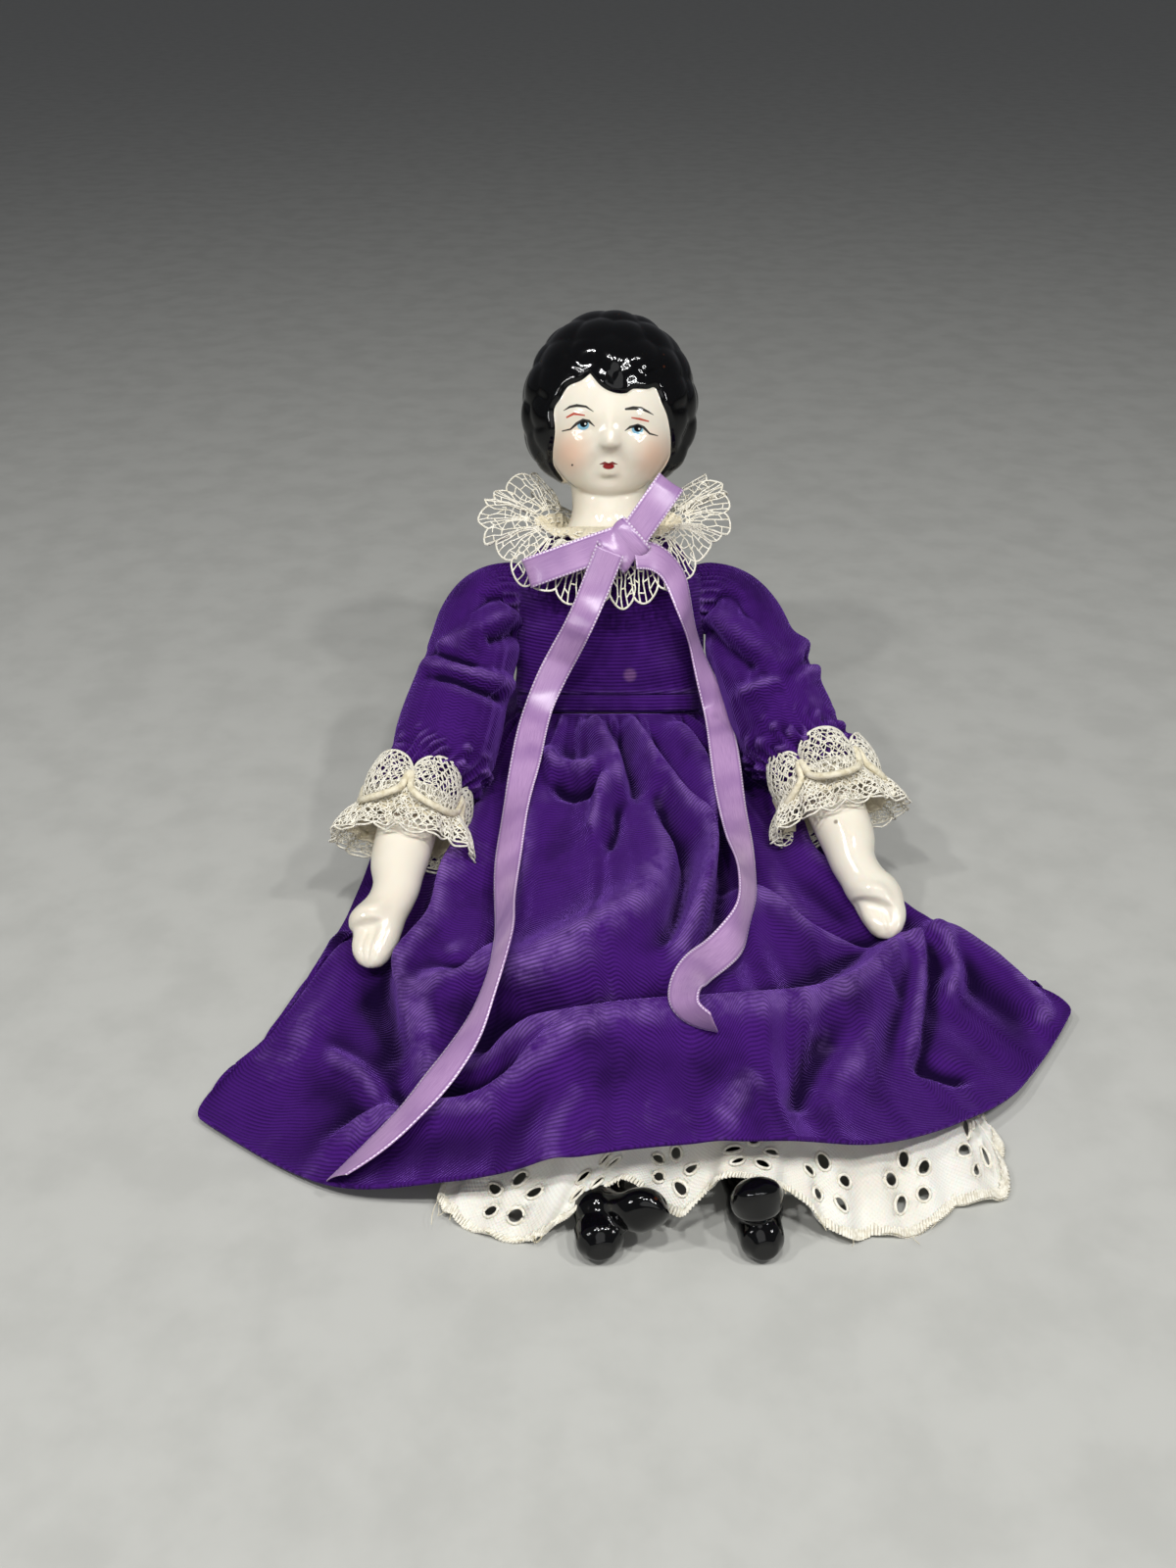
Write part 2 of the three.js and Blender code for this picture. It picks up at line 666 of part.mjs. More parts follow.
// Ring across an arm at a distance from the shoulder seam
function armRing(arm, distance, radiusAbove, radiusAside, count = limbAround, shift = 0) {
  const along = THREE.MathUtils.clamp(distance / arm.length, 0, 1);
  const tangent = arm.path.getTangentAt(along);
  const aside = tangent.clone().cross(arm.above).normalize();
  const middle = arm.path.getPointAt(along).addScaledVector(aside, -arm.side * shift);
  return limbRing(middle, arm.above, aside, radiusAbove, radiusAside, count);
}

// Grooved china end that a cloth casing is tied round
const flangeLength = 4;
const grooveLength = 4.5;
const grooveDepth = 2.4;
const cordRadius = 0.9;
const studLength = flangeLength + grooveLength;

// Cloth casing: radius at each distance, drawn in round the groove that starts at the end
function casingStations(start, end, radius, flange, thickness) {
  const groove = flange - grooveDepth + gap + thickness;
  const over = flange + gap + thickness;
  return [
    [start, radius], [mix(start, end, 0.12), radius], [mix(start, end, 0.45), radius],
    [end - flangeLength - 2, Math.max(over, mix(radius, over, 0.8))], [end - 0.6 + 0.5 * thickness, over],
    [end - 0.3 + thickness, groove], [end + 2.8, groove],
  ];
}

// Places along an upper arm where its casing and its stuffing both have a ring
const armStops = [6, 11, 16, 21, 26, 40];

function addUpperArm(name, arm) {
  const end = arm.length - forearmLength + flangeLength;
  const flange = forearmRadius - 1.4;
  const rings = (start, radius, tied) => [[start, radius], ...armStops.map((at) => [at, radius]), ...tied]
    .map(([at, r]) => armRing(arm, at, r, r));
  const tiedEnd = (radius, thickness) => casingStations(0, end, radius, flange, thickness).slice(3);
  const outside = rings(gap, armRadius, tiedEnd(armRadius, clothWall));
  const inside = rings(gap + clothWall, armRadius - clothWall, tiedEnd(armRadius - clothWall, 0));
  place(`upper_arm_${name}`, skin([...outside, ...inside.reverse()]), looks.muslin);
  const filling = armRadius - clothWall - gap;
  const stuffing = rings(gap + clothWall + gap, filling, [[end - flangeLength - 3 * gap, filling - 0.4]]);
  place(`upper_arm_stuffing_${name}`, skin(stuffing), looks.stuffing);
  const turns = [];
  const cordMiddle = flange - grooveDepth + 2 * gap + clothWall + cordRadius;
  for (let i = 0; i < 6; i++) {
    const angle = (2 * Math.PI * i) / 6;
    const radius = cordMiddle + cordRadius * Math.cos(angle);
    turns.push(armRing(arm, end + 1.8 + cordRadius * Math.sin(angle), radius, radius));
  }
  place(`arm_binding_${name}`, skin(turns, true), looks.cord);
}

// China forearm: distance from its top, radius above, radius aside, shift of the hand outwards
const forearm = [
  [studLength, forearmRadius - 1.4, forearmRadius - 1.4, 0], [16, forearmRadius - 0.3, forearmRadius, 0],
  [28, forearmRadius - 0.4, forearmRadius, 0], [38, forearmRadius - 1.4, forearmRadius - 1, 0],
  [47, 6.4, 7.4, 0.3], [52, 6.2, 8.2, 1.2], [58, 5.8, 9, 1.8], [64, 5, 8.2, 1.6],
  [69, 3.6, 5.8, 1], [forearmLength - 0.4, 1.6, 2.6, 0.6],
];
const thumbLength = 7.5;
const thumbRadius = 3.6;

function addForearm(name, arm) {
  const top = arm.length - forearmLength;
  const flange = forearmRadius - 1.4;
  const groove = flange - grooveDepth;
  const stud = [
    [0, flange], [flangeLength - 1, flange], [flangeLength - 0.7, groove], [studLength - 0.6, groove],
  ];
  const rings = [
    ...stud.map(([at, radius]) => armRing(arm, top + at, radius, radius)),
    ...forearm.map(([at, above, aside, shift]) => armRing(arm, top + at, above, aside, limbAround, shift)),
  ];
  const bore = [[-2, groove - 2], [studLength, groove - 2], [20, groove - 1], [38, groove - 1.6], [42, 2]]
    .map(([at, radius]) => armRing(arm, Math.max(0, top + at), radius, radius));
  const thumb = new THREE.SphereGeometry(1, 10, 8);
  thumb.scale(thumbRadius, thumbLength, thumbRadius);
  const tangent = arm.path.getTangentAt(1);
  const aside = tangent.clone().cross(arm.above).normalize().multiplyScalar(-arm.side);
  const lie = new THREE.Matrix4().makeBasis(tangent.clone().cross(arm.above), tangent, arm.above);
  const seat = arm.path.getPointAt((top + 54) / arm.length)
    .addScaledVector(arm.above, 3.4).addScaledVector(aside, 5.2);
  thumb.applyMatrix4(lie.setPosition(seat));
  const china = solid(skin(rings)).add(solid(thumb)).subtract(solid(skin(bore)));
  place(`forearm_${name}`, shapeOf(china), looks.china);
}

// Sleeve: distance from the shoulder or from the fingertips, and radius, puffed and then gathered
const sleeveStart = bodiceHalfWidth - shoulderHalfWidth + 2 * gap;
const sleeveEnd = 60;
const sleeveAround = 16;

function addSleeve(name, arm) {
  const cuff = arm.length - sleeveEnd;
  const stations = [
    [sleeveStart, sleeveRadius - 1.6], [8, sleeveRadius + 0.6], [17, sleeveRadius + 0.8],
    [30, sleeveRadius], [48, sleeveRadius - 0.2], [cuff - 18, sleeveRadius + 0.4],
    [cuff - 10, sleeveRadius - 1], [cuff - 4, cuffRadius], [cuff, cuffRadius + 0.6],
  ];
  const rings = (thickness) => stations.map(([at, radius]) => armRing(
    arm, at, radius - thickness, radius - thickness, sleeveAround));
  place(`sleeve_${name}`, wall(rings(0), rings(velvetWall)), looks.velvet);
  const band = [cuff - 5.5, cuff - 2.5];
  const elasticRing = (radius) => band.map((at) => armRing(arm, at, radius, radius, sleeveAround));
  const middle = mix(forearmRadius, cuffRadius - velvetWall, 0.5);
  place(`cuff_elastic_${name}`, wall(elasticRing(middle + 0.4), elasticRing(middle - 0.4)), looks.elastic);
}

// Lace frill of a cuff: a heading that stands up and a wavy frill that spreads over the hand
const frillWaves = 7;
const frillAround = 28;

function addCuffLace(name, arm) {
  const cuff = arm.length - sleeveEnd;
  const stations = [
    [cuff - 8, cuffRadius + 6.4, cuffRadius + 6.4], [cuff - 3, cuffRadius + 1.6, cuffRadius + 1.6],
    [cuff + 8, mix(cuffRadius, cuffFrill, 0.2), mix(cuffRadius, cuffFrill, 0.55)],
    [cuff + 17, mix(cuffRadius, cuffFrill, 0.22), cuffFrill - 1.5],
  ];
  const frill = (turn, down) => {
    const at = mix(cuff - 8, cuff + 17, down);
    const angle = 2 * Math.PI * turn;
    const spread = smooth(down, 0.2, 1);
    const ruffle = 1 + 0.07 * spread * Math.cos(frillWaves * angle);
    const [above, aside] = [station(stations, at, 1) * ruffle, station(stations, at, 2) * ruffle];
    const along = at / arm.length;
    const tangent = arm.path.getTangentAt(along);
    const sideways = tangent.clone().cross(arm.above).normalize();
    return arm.path.getPointAt(along)
      .addScaledVector(arm.above, above * Math.cos(angle))
      .addScaledVector(sideways, -aside * Math.sin(angle));
  };
  const downs = [0, 0.2, 0.55, 1];
  place(`cuff_lace_${name}`, draped(frill, frillAround, downs, 0, laceWall), looks.lace);
}

function addArm(name, side, fingertip) {
  const arm = armPath(side, fingertip);
  addUpperArm(name, arm);
  addForearm(name, arm);
  addSleeve(name, arm);
  addCuffLace(name, arm);
}

// Leg built upright along its own Y from the hip, toes towards its own Z, then laid in place
function legFrame(side, sole, toeRoll) {
  const top = new THREE.Vector3(side * hipSpread, hip.y, hip.z);
  const along = new THREE.Vector3(...sole).sub(top).normalize();
  const toes = new THREE.Vector3(0, 0, 1).addScaledVector(along, -along.z).normalize();
  toes.applyAxisAngle(along, THREE.MathUtils.degToRad(toeRoll));
  return new THREE.Matrix4().makeBasis(along.clone().cross(toes), along, toes).setPosition(top);
}

// Turned solid from a profile of radius and place along the leg
function turned(profile, segments = limbAround) {
  const lathe = new THREE.LatheGeometry(profile.map((point) => new THREE.Vector2(...point)), segments);
  lathe.deleteAttribute('normal');
  lathe.deleteAttribute('uv');
  return facingOut(mergeVertices(lathe));
}

// Rounded end of a stuffed thigh, as points of its profile
function roundEnd(radius) {
  return [-90, -60, -30].map((degrees) => {
    const angle = THREE.MathUtils.degToRad(degrees);
    return [degrees === -90 ? 0 : radius * Math.cos(angle), radius * Math.sin(angle)];
  });
}

function addThigh(name, frame) {
  const flange = calfRadius - 0.8;
  const profile = (radius, thickness) => [
    ...roundEnd(radius),
    ...casingStations(0, thighLength, radius, flange, thickness).map(([at, r]) => [r, at]),
  ];
  const outside = profile(thighRadius, clothWall);
  const inside = profile(thighRadius - clothWall, 0);
  place(`thigh_${name}`, turned([...outside, ...inside.reverse()]).applyMatrix4(frame), looks.muslin);
  const filling = thighRadius - clothWall - gap;
  const end = thighLength - flangeLength - 3 * gap;
  const stuffing = [...roundEnd(filling), [filling, 0], [filling, 30], [flange, end], [0, end]];
  place(`thigh_stuffing_${name}`, turned(stuffing).applyMatrix4(frame), looks.stuffing);
  const binding = new THREE.TorusGeometry(
    flange - grooveDepth + 2 * gap + clothWall + cordRadius, cordRadius, 6, limbAround);
  binding.rotateX(Math.PI / 2);
  binding.translate(0, thighLength + 1.8, 0);
  place(`leg_binding_${name}`, binding.applyMatrix4(frame), looks.cord);
}

// Boot foot: place towards the toes, half width, height above the sole
const foot = [
  [-7.4, 0.2, 0.35], [-5.5, 0.7, 0.72], [-1, 0.82, 1], [5, 0.86, 0.84], [11, 0.98, 0.62],
  [16, 0.94, 0.52], [19, 0.66, 0.42], [20.6, 0.2, 0.2],
];
const footHeight = 16;

function addLowerLeg(name, frame) {
  const flange = calfRadius - 0.8;
  const groove = flange - grooveDepth;
  const top = thighLength - flangeLength;
  const bore = groove - 2.4;
  const shank = turned([
    [bore, top], [flange, top], [flange, thighLength - 1], [groove, thighLength - 0.7],
    [groove, thighLength + grooveLength - 0.6], [flange, thighLength + grooveLength],
    [calfRadius, thighLength + 18], [calfRadius - 0.4, thighLength + 34], [ankleRadius + 0.8, legLength - 32],
    [ankleRadius, legLength - 18], [ankleRadius + 0.2, legLength - 10], [0, legLength - 7],
    [0, legLength - 30], [bore - 1, legLength - 36], [bore, thighLength + 20], [bore, top],
  ]);
  const scale = bootLength / 28;
  const rings = foot.map(([toward, wide, high]) => {
    const sole = legLength - mix(heelHeight, 1, smooth(toward, 2, 11));
    const middle = new THREE.Vector3(0, sole - (high * footHeight) / 2, toward * scale);
    const across = new THREE.Vector3(1, 0, 0);
    const down = new THREE.Vector3(0, 1, 0);
    return limbRing(middle, across, down, (wide * bootWidth) / 2, (high * footHeight) / 2);
  });
  const heel = new THREE.CylinderGeometry(0.36 * bootWidth, 0.33 * bootWidth, heelHeight + 3, limbAround);
  heel.rotateX(Math.PI);
  heel.translate(0, legLength - (heelHeight + 3) / 2, -2.4 * scale);
  const china = solid(shank).add(solid(skin(rings))).add(solid(heel));
  place(`lower_leg_${name}`, shapeOf(china).applyMatrix4(frame), looks.china);
}

function addLeg(name, side, sole, toeRoll) {
  const frame = legFrame(side, sole, toeRoll);
  addThigh(name, frame);
  addLowerLeg(name, frame);
}

// Collar: a binding round the neckline and a lace frill that falls in front and stands at the sides
const collarInner = neckHalfWidth + 5.4;
const collarOuter = 44;
const collarForward = 30;
const collarFall = 26;
const collarStand = 8;
const collarWaves = 11;
const collarAround = 40;

function collarPoint(turn, down) {
  const angle = 2 * Math.PI * turn;
  const [side, front] = [Math.sin(angle), Math.cos(angle)];
  const fall = Math.max(0, front) ** 1.5;
  const out = Math.sqrt(down);
  const across = mix(collarInner + gap + laceWall, collarOuter, out) * side;
  const depth = -mix(collarInner - 1 + gap + laceWall, collarForward + fall, out ** 1.4) * front;
  const lift = mix(2, collarStand, Math.abs(side)) * (1 - fall);
  const height = neckline + 1.6 + lift * down - collarFall * fall * down ** 1.2;
  const wave = 1.6 * down * Math.cos(collarWaves * angle);
  return torsoPoint(across, depth - wave * fall * 0.6, height + wave * (1 - fall));
}

function addCollar() {
  const heights = [neckline + gap, neckline + 3];
  const ringsOf = (width) => heights.map((height) => torsoRing(height, width, width - 1));
  const band = wall(ringsOf(collarInner), ringsOf(collarInner - 1.8));
  place('neck_binding', band.applyMatrix4(leanBack), looks.cotton);
  place('collar_lace', draped(collarPoint, collarAround, [0, 0.25, 0.6, 1], 0, laceWall), looks.lace);
}

// Ribbon strip along a curve, its face turned towards the given direction
function ribbonStrip(points, faceAt, steps) {
  const curve = new THREE.CatmullRomCurve3(points);
  const rings = [];
  for (let i = 0; i <= steps; i++) {
    const middle = curve.getPoint(i / steps);
    const along = curve.getTangent(i / steps);
    const aside = along.clone().cross(faceAt(i / steps)).normalize().multiplyScalar(ribbonWidth / 2);
    const face = aside.clone().cross(along).normalize().multiplyScalar(ribbonThickness / 2);
    rings.push([
      middle.clone().add(aside).add(face), middle.clone().sub(aside).add(face),
      middle.clone().sub(aside).sub(face), middle.clone().add(aside).sub(face),
    ]);
  }
  return skin(rings);
}

// Bow at the neck: its knot, and two loops that droop to one side and stand up on the other
const knot = [5.5, -32.5, neckline - 6];
const loopLength = 33;
const loopBulge = 4.5;
const droopRight = -8;
const riseLeft = 58;

function bowLoop(side, tilt) {
  const outline = [[0.1, -0.5], [0.45, -1], [0.85, -0.85], [1, 0], [0.85, 0.85], [0.45, 1], [0.1, 0.5]];
  const points = outline.map(([reach, bulge]) => new THREE.Vector3(
    side * reach * loopLength, bulge * loopBulge, 0));
  const loop = ribbonStrip(points, (part) => new THREE.Vector3(
    side * Math.sin(Math.PI * part), Math.cos(Math.PI * part), 0), 12);
  loop.rotateY(-side * THREE.MathUtils.degToRad(tilt));
  return solid(loop);
}

function addBow() {
  const middle = new THREE.SphereGeometry(1, 10, 6);
  middle.rotateX(Math.PI / 2);
  middle.scale(8.4, 4.6, 5.6);
  const bow = solid(middle).add(bowLoop(-1, droopRight)).add(bowLoop(1, riseLeft));
  const shape = shapeOf(bow).translate(...knot);
  place('ribbon_bow', shape.applyMatrix4(leanBack), looks.ribbon);
}

// Ribbon tails: over the bodice across, depth and drop below the neckline, then turn and down on the skirt
const tailRight = {
  bodice: [[2, -34, 13.0], [-7, -34.5, 25], [-16, -29, 40], [-22, -27.4, 52]],
  skirt: [[0.879, 0.1], [0.886, 0.19], [0.892, 0.318], [0.898, 0.438], [0.904, 0.538], [0.905, 0.721],
    [0.889, 0.863], [0.866, 0.97]],
};
const tailLeft = {
  bodice: [[11, -34, 13], [21, -33, 17], [27.5, -27, 32], [30, -24, 47]],
  skirt: [[0.17, 0.1], [0.127, 0.255], [0.098, 0.407], [0.08, 0.525], [0.052, 0.629],
    [0.026, 0.702], [0.017, 0.763], [0.034, 0.803]],
};
const tailSteps = 34;
const tailPlaces = 24;
const tailClear = 3.6;

function addTail(name, tail) {
  const lift = ribbonThickness / 2 + tailClear;
  const path = new THREE.CatmullRomCurve3(tail.skirt.map(([turn, down]) => new THREE.Vector3(turn, down, 0)));
  const places = path.getPoints(tailPlaces);
  const points = [
    ...tail.bodice.map(([across, depth, drop]) => torsoPoint(across, depth, neckline - drop)),
    ...places.map((place) => under(skirtPoint, place.x, place.y, -lift)),
  ];
  const chest = new THREE.Vector3(0, -1, 0.2).applyMatrix4(leanBack);
  const faces = [
    ...tail.bodice.map(() => chest),
    ...places.map((place) => under(skirtPoint, place.x, place.y, -1).sub(skirtPoint(place.x, place.y))),
  ];
  const faceAt = (part) => {
    const at = part * (faces.length - 1);
    const before = Math.min(Math.floor(at), faces.length - 2);
    return faces[before].clone().lerp(faces[before + 1], at - before);
  };
  place(`ribbon_tail_${name}`, ribbonStrip(points, faceAt, tailSteps), looks.ribbon);
}

addTorso();
addShoulderHead();
addStitches();
addBodice();
addBackClosing();
addWaistband();
addSkirt();
addPetticoat();
addFlounce();
addCollar();
addBow();
addTail('right', tailRight);
addTail('left', tailLeft);
addArm('right', -1, fingertipRight);
addArm('left', 1, fingertipLeft);
addLeg('right', -1, soleRight, toeRollRight);
addLeg('left', 1, soleLeft, toeRollLeft);

export default doll;
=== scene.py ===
# Seated doll with a china head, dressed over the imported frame: one section for each sub-part
import math
import bmesh
import bpy
import numpy as np
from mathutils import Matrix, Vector
from mathutils.bvhtree import BVHTree
from mathutils.geometry import delaunay_2d_cdt


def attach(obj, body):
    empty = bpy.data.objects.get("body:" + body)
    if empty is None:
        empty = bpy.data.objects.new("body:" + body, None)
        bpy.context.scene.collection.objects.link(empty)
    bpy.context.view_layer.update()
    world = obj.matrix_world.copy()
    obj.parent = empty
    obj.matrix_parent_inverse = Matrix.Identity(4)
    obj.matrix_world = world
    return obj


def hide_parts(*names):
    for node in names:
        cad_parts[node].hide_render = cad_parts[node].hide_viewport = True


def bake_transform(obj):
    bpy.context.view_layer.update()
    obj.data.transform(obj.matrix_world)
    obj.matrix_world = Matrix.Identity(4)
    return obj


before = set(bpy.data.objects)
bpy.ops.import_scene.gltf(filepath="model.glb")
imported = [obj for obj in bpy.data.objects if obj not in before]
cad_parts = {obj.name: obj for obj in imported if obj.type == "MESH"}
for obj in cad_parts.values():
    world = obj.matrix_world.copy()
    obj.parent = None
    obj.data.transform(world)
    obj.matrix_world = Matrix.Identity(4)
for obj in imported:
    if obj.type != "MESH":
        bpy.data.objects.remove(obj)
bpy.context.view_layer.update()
mm = 0.001
tau = 2 * math.pi
lean = math.radians(24)            # of the torso, backwards
torsoBack = np.array([0, math.cos(lean), -math.sin(lean)])
pitch = math.radians(31)           # of the camera, downwards
focal = 1500                       # pixels of the 1200 x 1600 picture
middleX, middleY = 600, 800
eye = np.array([-7.5, -450.2, 292.0])
leastFlat = 0.01                   # metres, for either side of a flat cloth


# small maths helpers, all in millimetres
def smoothstep(value, low, high):
    part = np.clip((np.asarray(value, float) - low) / (high - low), 0, 1)
    return part * part * (3 - 2 * part)


def fall(value, low, high):
    return 1 - smoothstep(value, low, high)


def mix(first, second, part):
    return first + (second - first) * part


def unit(vectors):
    return vectors / np.maximum(np.linalg.norm(vectors, axis=-1, keepdims=True), 1e-9)


def spline(points, at, closed=False):
    table = np.asarray(points, float)
    count = len(table)
    place = np.asarray(at, float) * (count if closed else count - 1)
    first = np.floor(place).astype(int)
    if not closed:
        first = np.clip(first, 0, count - 2)
    part = (place - first)[..., None]

    def pick(shift):
        index = first + shift
        return table[index % count] if closed else table[np.clip(index, 0, count - 1)]

    a, b, c, d = pick(-1), pick(0), pick(1), pick(2)
    return 0.5 * (2 * b + (c - a) * part + (2 * a - 5 * b + 4 * c - d) * part ** 2
                  + (3 * b - a - 3 * c + d) * part ** 3)


def alongTable(rows, at):
    table = np.asarray(rows, float)
    x, y = table[:, 0], table[:, 1:]
    slope = np.gradient(y, x, axis=0)
    at = np.clip(np.asarray(at, float), x[0], x[-1])
    i = np.clip(np.searchsorted(x, at) - 1, 0, len(x) - 2)
    step = (x[i + 1] - x[i])[..., None]
    t = (at - x[i])[..., None] / step
    return ((1 + 2 * t) * (1 - t) ** 2 * y[i] + t * (1 - t) ** 2 * step * slope[i]
            + t * t * (3 - 2 * t) * y[i + 1] + t * t * (t - 1) * step * slope[i + 1])


def torsoPoint(across, depth, height):
    across, depth, height = np.broadcast_arrays(
        np.asarray(across, float), np.asarray(depth, float), np.asarray(height, float))
    y = depth * math.cos(lean) + height * math.sin(lean)
    z = height * math.cos(lean) - depth * math.sin(lean)
    return np.stack([across, y, z], axis=-1)


# picture of a point, and the ray or torso-plane point behind a pixel of the photograph
viewAlong = np.array([0, math.cos(pitch), -math.sin(pitch)])
viewUp = np.array([0, math.sin(pitch), math.cos(pitch)])


def toPixels(points):
    away = points - eye
    depth = away @ viewAlong
    px = middleX + focal * away[..., 0] / depth
    py = middleY - focal * (away @ viewUp) / depth
    return np.stack([px, py], axis=-1)


def pixelRay(px, py):
    return unit(np.array([(px - middleX) / focal, 0, 0]) + viewAlong + viewUp * (middleY - py) / focal)


def onTorso(px, py, depth):
    ray = pixelRay(px, py)
    return eye + ray * (depth - eye @ torsoBack) / (ray @ torsoBack)


# distance to a smooth line drawn in two dimensions, which side of it a place lies on, and how far along
def strokeDistance(places, line, closed, steps):
    path = spline(line, np.linspace(0, 1, steps + 1), closed)
    best = np.full(len(places), 1e9)
    side = np.ones(len(places))
    part = np.zeros(len(places))
    for i in range(steps):
        start, run = path[i], path[i + 1] - path[i]
        off = places - start
        t = np.clip(off @ run / max(run @ run, 1e-9), 0, 1)
        gap = np.linalg.norm(off - t[:, None] * run, axis=1)
        nearer = gap < best
        best = np.where(nearer, gap, best)
        side = np.where(nearer, np.sign(run[0] * off[:, 1] - run[1] * off[:, 0]), side)
        part = np.where(nearer, (i + t) / steps, part)
    return best, side, part


# lift of one fold, given as its rise, reach to either side and line; it sinks towards both ends
def ridge(places, rise, reach, line):
    gap, side, part = strokeDistance(places, line, False, 36)
    wide = np.where(side > 0, reach[0], reach[1])
    fade = smoothstep(part, 0, 0.18) * fall(part, 0.8, 1)
    fade = np.where((part <= 0) | (part >= 1), 0.35, 0.35 + 0.65 * fade)
    return rise * fade * np.exp(-(gap / wide) ** 2)


# helpers for grids and lines of points
def turns(count):
    return np.linspace(0, tau, count, endpoint=False)


def around(count):
    return (np.arange(count) / count)[None, :]


def closedGrid(grid):
    return np.concatenate([grid, grid[:, :1]], axis=1)


def lengthsAlong(line):
    return np.concatenate([[0], np.cumsum(np.linalg.norm(np.diff(line, axis=0), axis=1))])


def segments(line):
    return np.stack([line[:-1], line[1:]], axis=1)


# mesh helpers
def addMesh(name, points, faces, material):
    mesh = bpy.data.meshes.new(name)
    mesh.from_pydata((np.asarray(points) * mm).tolist(), [], faces)
    mesh.shade_smooth()
    mesh.materials.append(material)
    piece = bpy.data.objects.new(name, mesh)
    bpy.context.collection.objects.link(piece)
    return piece


def gridFaces(rows, cols, wrap=True):
    down, across = np.meshgrid(np.arange(rows - 1), np.arange(cols if wrap else cols - 1), indexing="ij")
    nextAcross = (across + 1) % cols
    corners = [down * cols + across, (down + 1) * cols + across,
               (down + 1) * cols + nextAcross, down * cols + nextAcross]
    return np.stack(corners, axis=-1).reshape(-1, 4)


def gridNormals(grid, wrap=True):
    across = np.roll(grid, -1, 1) - np.roll(grid, 1, 1) if wrap else np.gradient(grid, axis=1)
    return unit(np.cross(np.gradient(grid, axis=0), across))


def softened(rows):
    return 0.25 * rows[:-2] + 0.5 * rows[1:-1] + 0.25 * rows[2:]


def blurred(grid, rounds):
    for _ in range(rounds):
        grid = softened(np.concatenate([grid[:1], grid, grid[-1:]]))
        grid = 0.25 * np.roll(grid, 1, 1) + 0.5 * grid + 0.25 * np.roll(grid, -1, 1)
    return grid


def setFloat(piece, name, values):
    layer = piece.data.attributes.new(name, "FLOAT", "POINT")
    layer.data.foreach_set("value", np.asarray(values, np.float32).ravel())


def setVector(piece, name, values):
    layer = piece.data.attributes.new(name, "FLOAT_VECTOR", "POINT")
    layer.data.foreach_set("vector", np.asarray(values, np.float32).ravel())


def setWeave(piece, places):
    layer = piece.data.uv_layers.new(name="weave")
    layer.data.foreach_set("uv", np.asarray(places, np.float32).ravel())


# sheet over a closed grid of points: cloth lengths as UVs, crests and hollows as an attribute
def addSheet(name, grid, material, wall, crestReach=1.2, blurs=6):
    rows, cols = grid.shape[:2]
    piece = addMesh(name, grid.reshape(-1, 3), gridFaces(rows, cols).tolist(), material)
    wide = closedGrid(grid)
    down = np.zeros(wide.shape[:2])
    down[1:] = np.cumsum(np.linalg.norm(np.diff(wide, axis=0), axis=2), axis=0)
    across = np.zeros(wide.shape[:2])
    across[:, 1:] = np.cumsum(np.linalg.norm(np.diff(wide, axis=1), axis=2).mean(axis=0))[None, :]
    uv = np.stack([across, down], axis=-1) * mm
    r, c = np.meshgrid(np.arange(rows - 1), np.arange(cols), indexing="ij")
    setWeave(piece, np.stack([uv[r, c], uv[r + 1, c], uv[r + 1, c + 1], uv[r, c + 1]], axis=2))
    away = ((grid - blurred(grid, blurs)) * gridNormals(grid)).sum(axis=2)
    setFloat(piece, "crest", np.clip(away / crestReach, -1, 1))
    thicken(piece, wall)
    return piece


# cloth measured along its grid and declared: widest row by mean way down, neither under leastFlat,
# and the surface's area, kept between three tenths and the whole of that
def declareCloth(piece, grids, wrap, held):
    width, length, area = 0, 0, 0
    for grid in grids:
        whole = closedGrid(grid) if wrap else grid
        across = np.linalg.norm(np.diff(whole, axis=1), axis=2).sum(axis=1)
        along = np.linalg.norm(np.diff(whole, axis=0), axis=2).sum(axis=0)
        corners = np.cross(whole[1:, 1:] - whole[:-1, :-1], whole[1:, :-1] - whole[:-1, 1:])
        width = max(width, across.max() * mm, leastFlat)
        length = length + along.mean() * mm
        area = area + 0.5 * np.linalg.norm(corners, axis=2).sum() * mm * mm
    length = max(length, leastFlat)
    float(np.clip(area, 0.3 * width * length, width * length))
    print("cloth", piece.name, held, round(width, 4), "x", round(length, 4), "area", round(area, 5))


def addModifier(piece, kind, **settings):
    modifier = piece.modifiers.new(kind.lower(), kind)
    for key, value in settings.items():
        setattr(modifier, key, value)


def applyModifiers(piece):
    graph = bpy.context.evaluated_depsgraph_get()
    made = bpy.data.meshes.new_from_object(piece.evaluated_get(graph))
    old = piece.data
    piece.modifiers.clear()
    piece.data = made
    bpy.data.meshes.remove(old)


def thicken(piece, thickness):
    addModifier(piece, "SOLIDIFY", thickness=thickness * mm, offset=-1)
    applyModifiers(piece)


def moulded(piece, voxel, softening):
    addModifier(piece, "REMESH", mode="VOXEL", voxel_size=voxel * mm)
    addModifier(piece, "SMOOTH", factor=0.5, iterations=softening)
    applyModifiers(piece)
    piece.data.shade_smooth()


def pointsOf(piece):
    flat = np.empty(3 * len(piece.data.vertices), np.float32)
    piece.data.vertices.foreach_get("co", flat)
    return flat.reshape(-1, 3).astype(float) / mm


def treeOf(grids):
    points, faces = [], []
    for grid in grids:
        start = len(points)
        points += grid.reshape(-1, 3).tolist()
        faces += (gridFaces(*grid.shape[:2]) + start).tolist()
    return BVHTree.FromPolygons(points, faces)


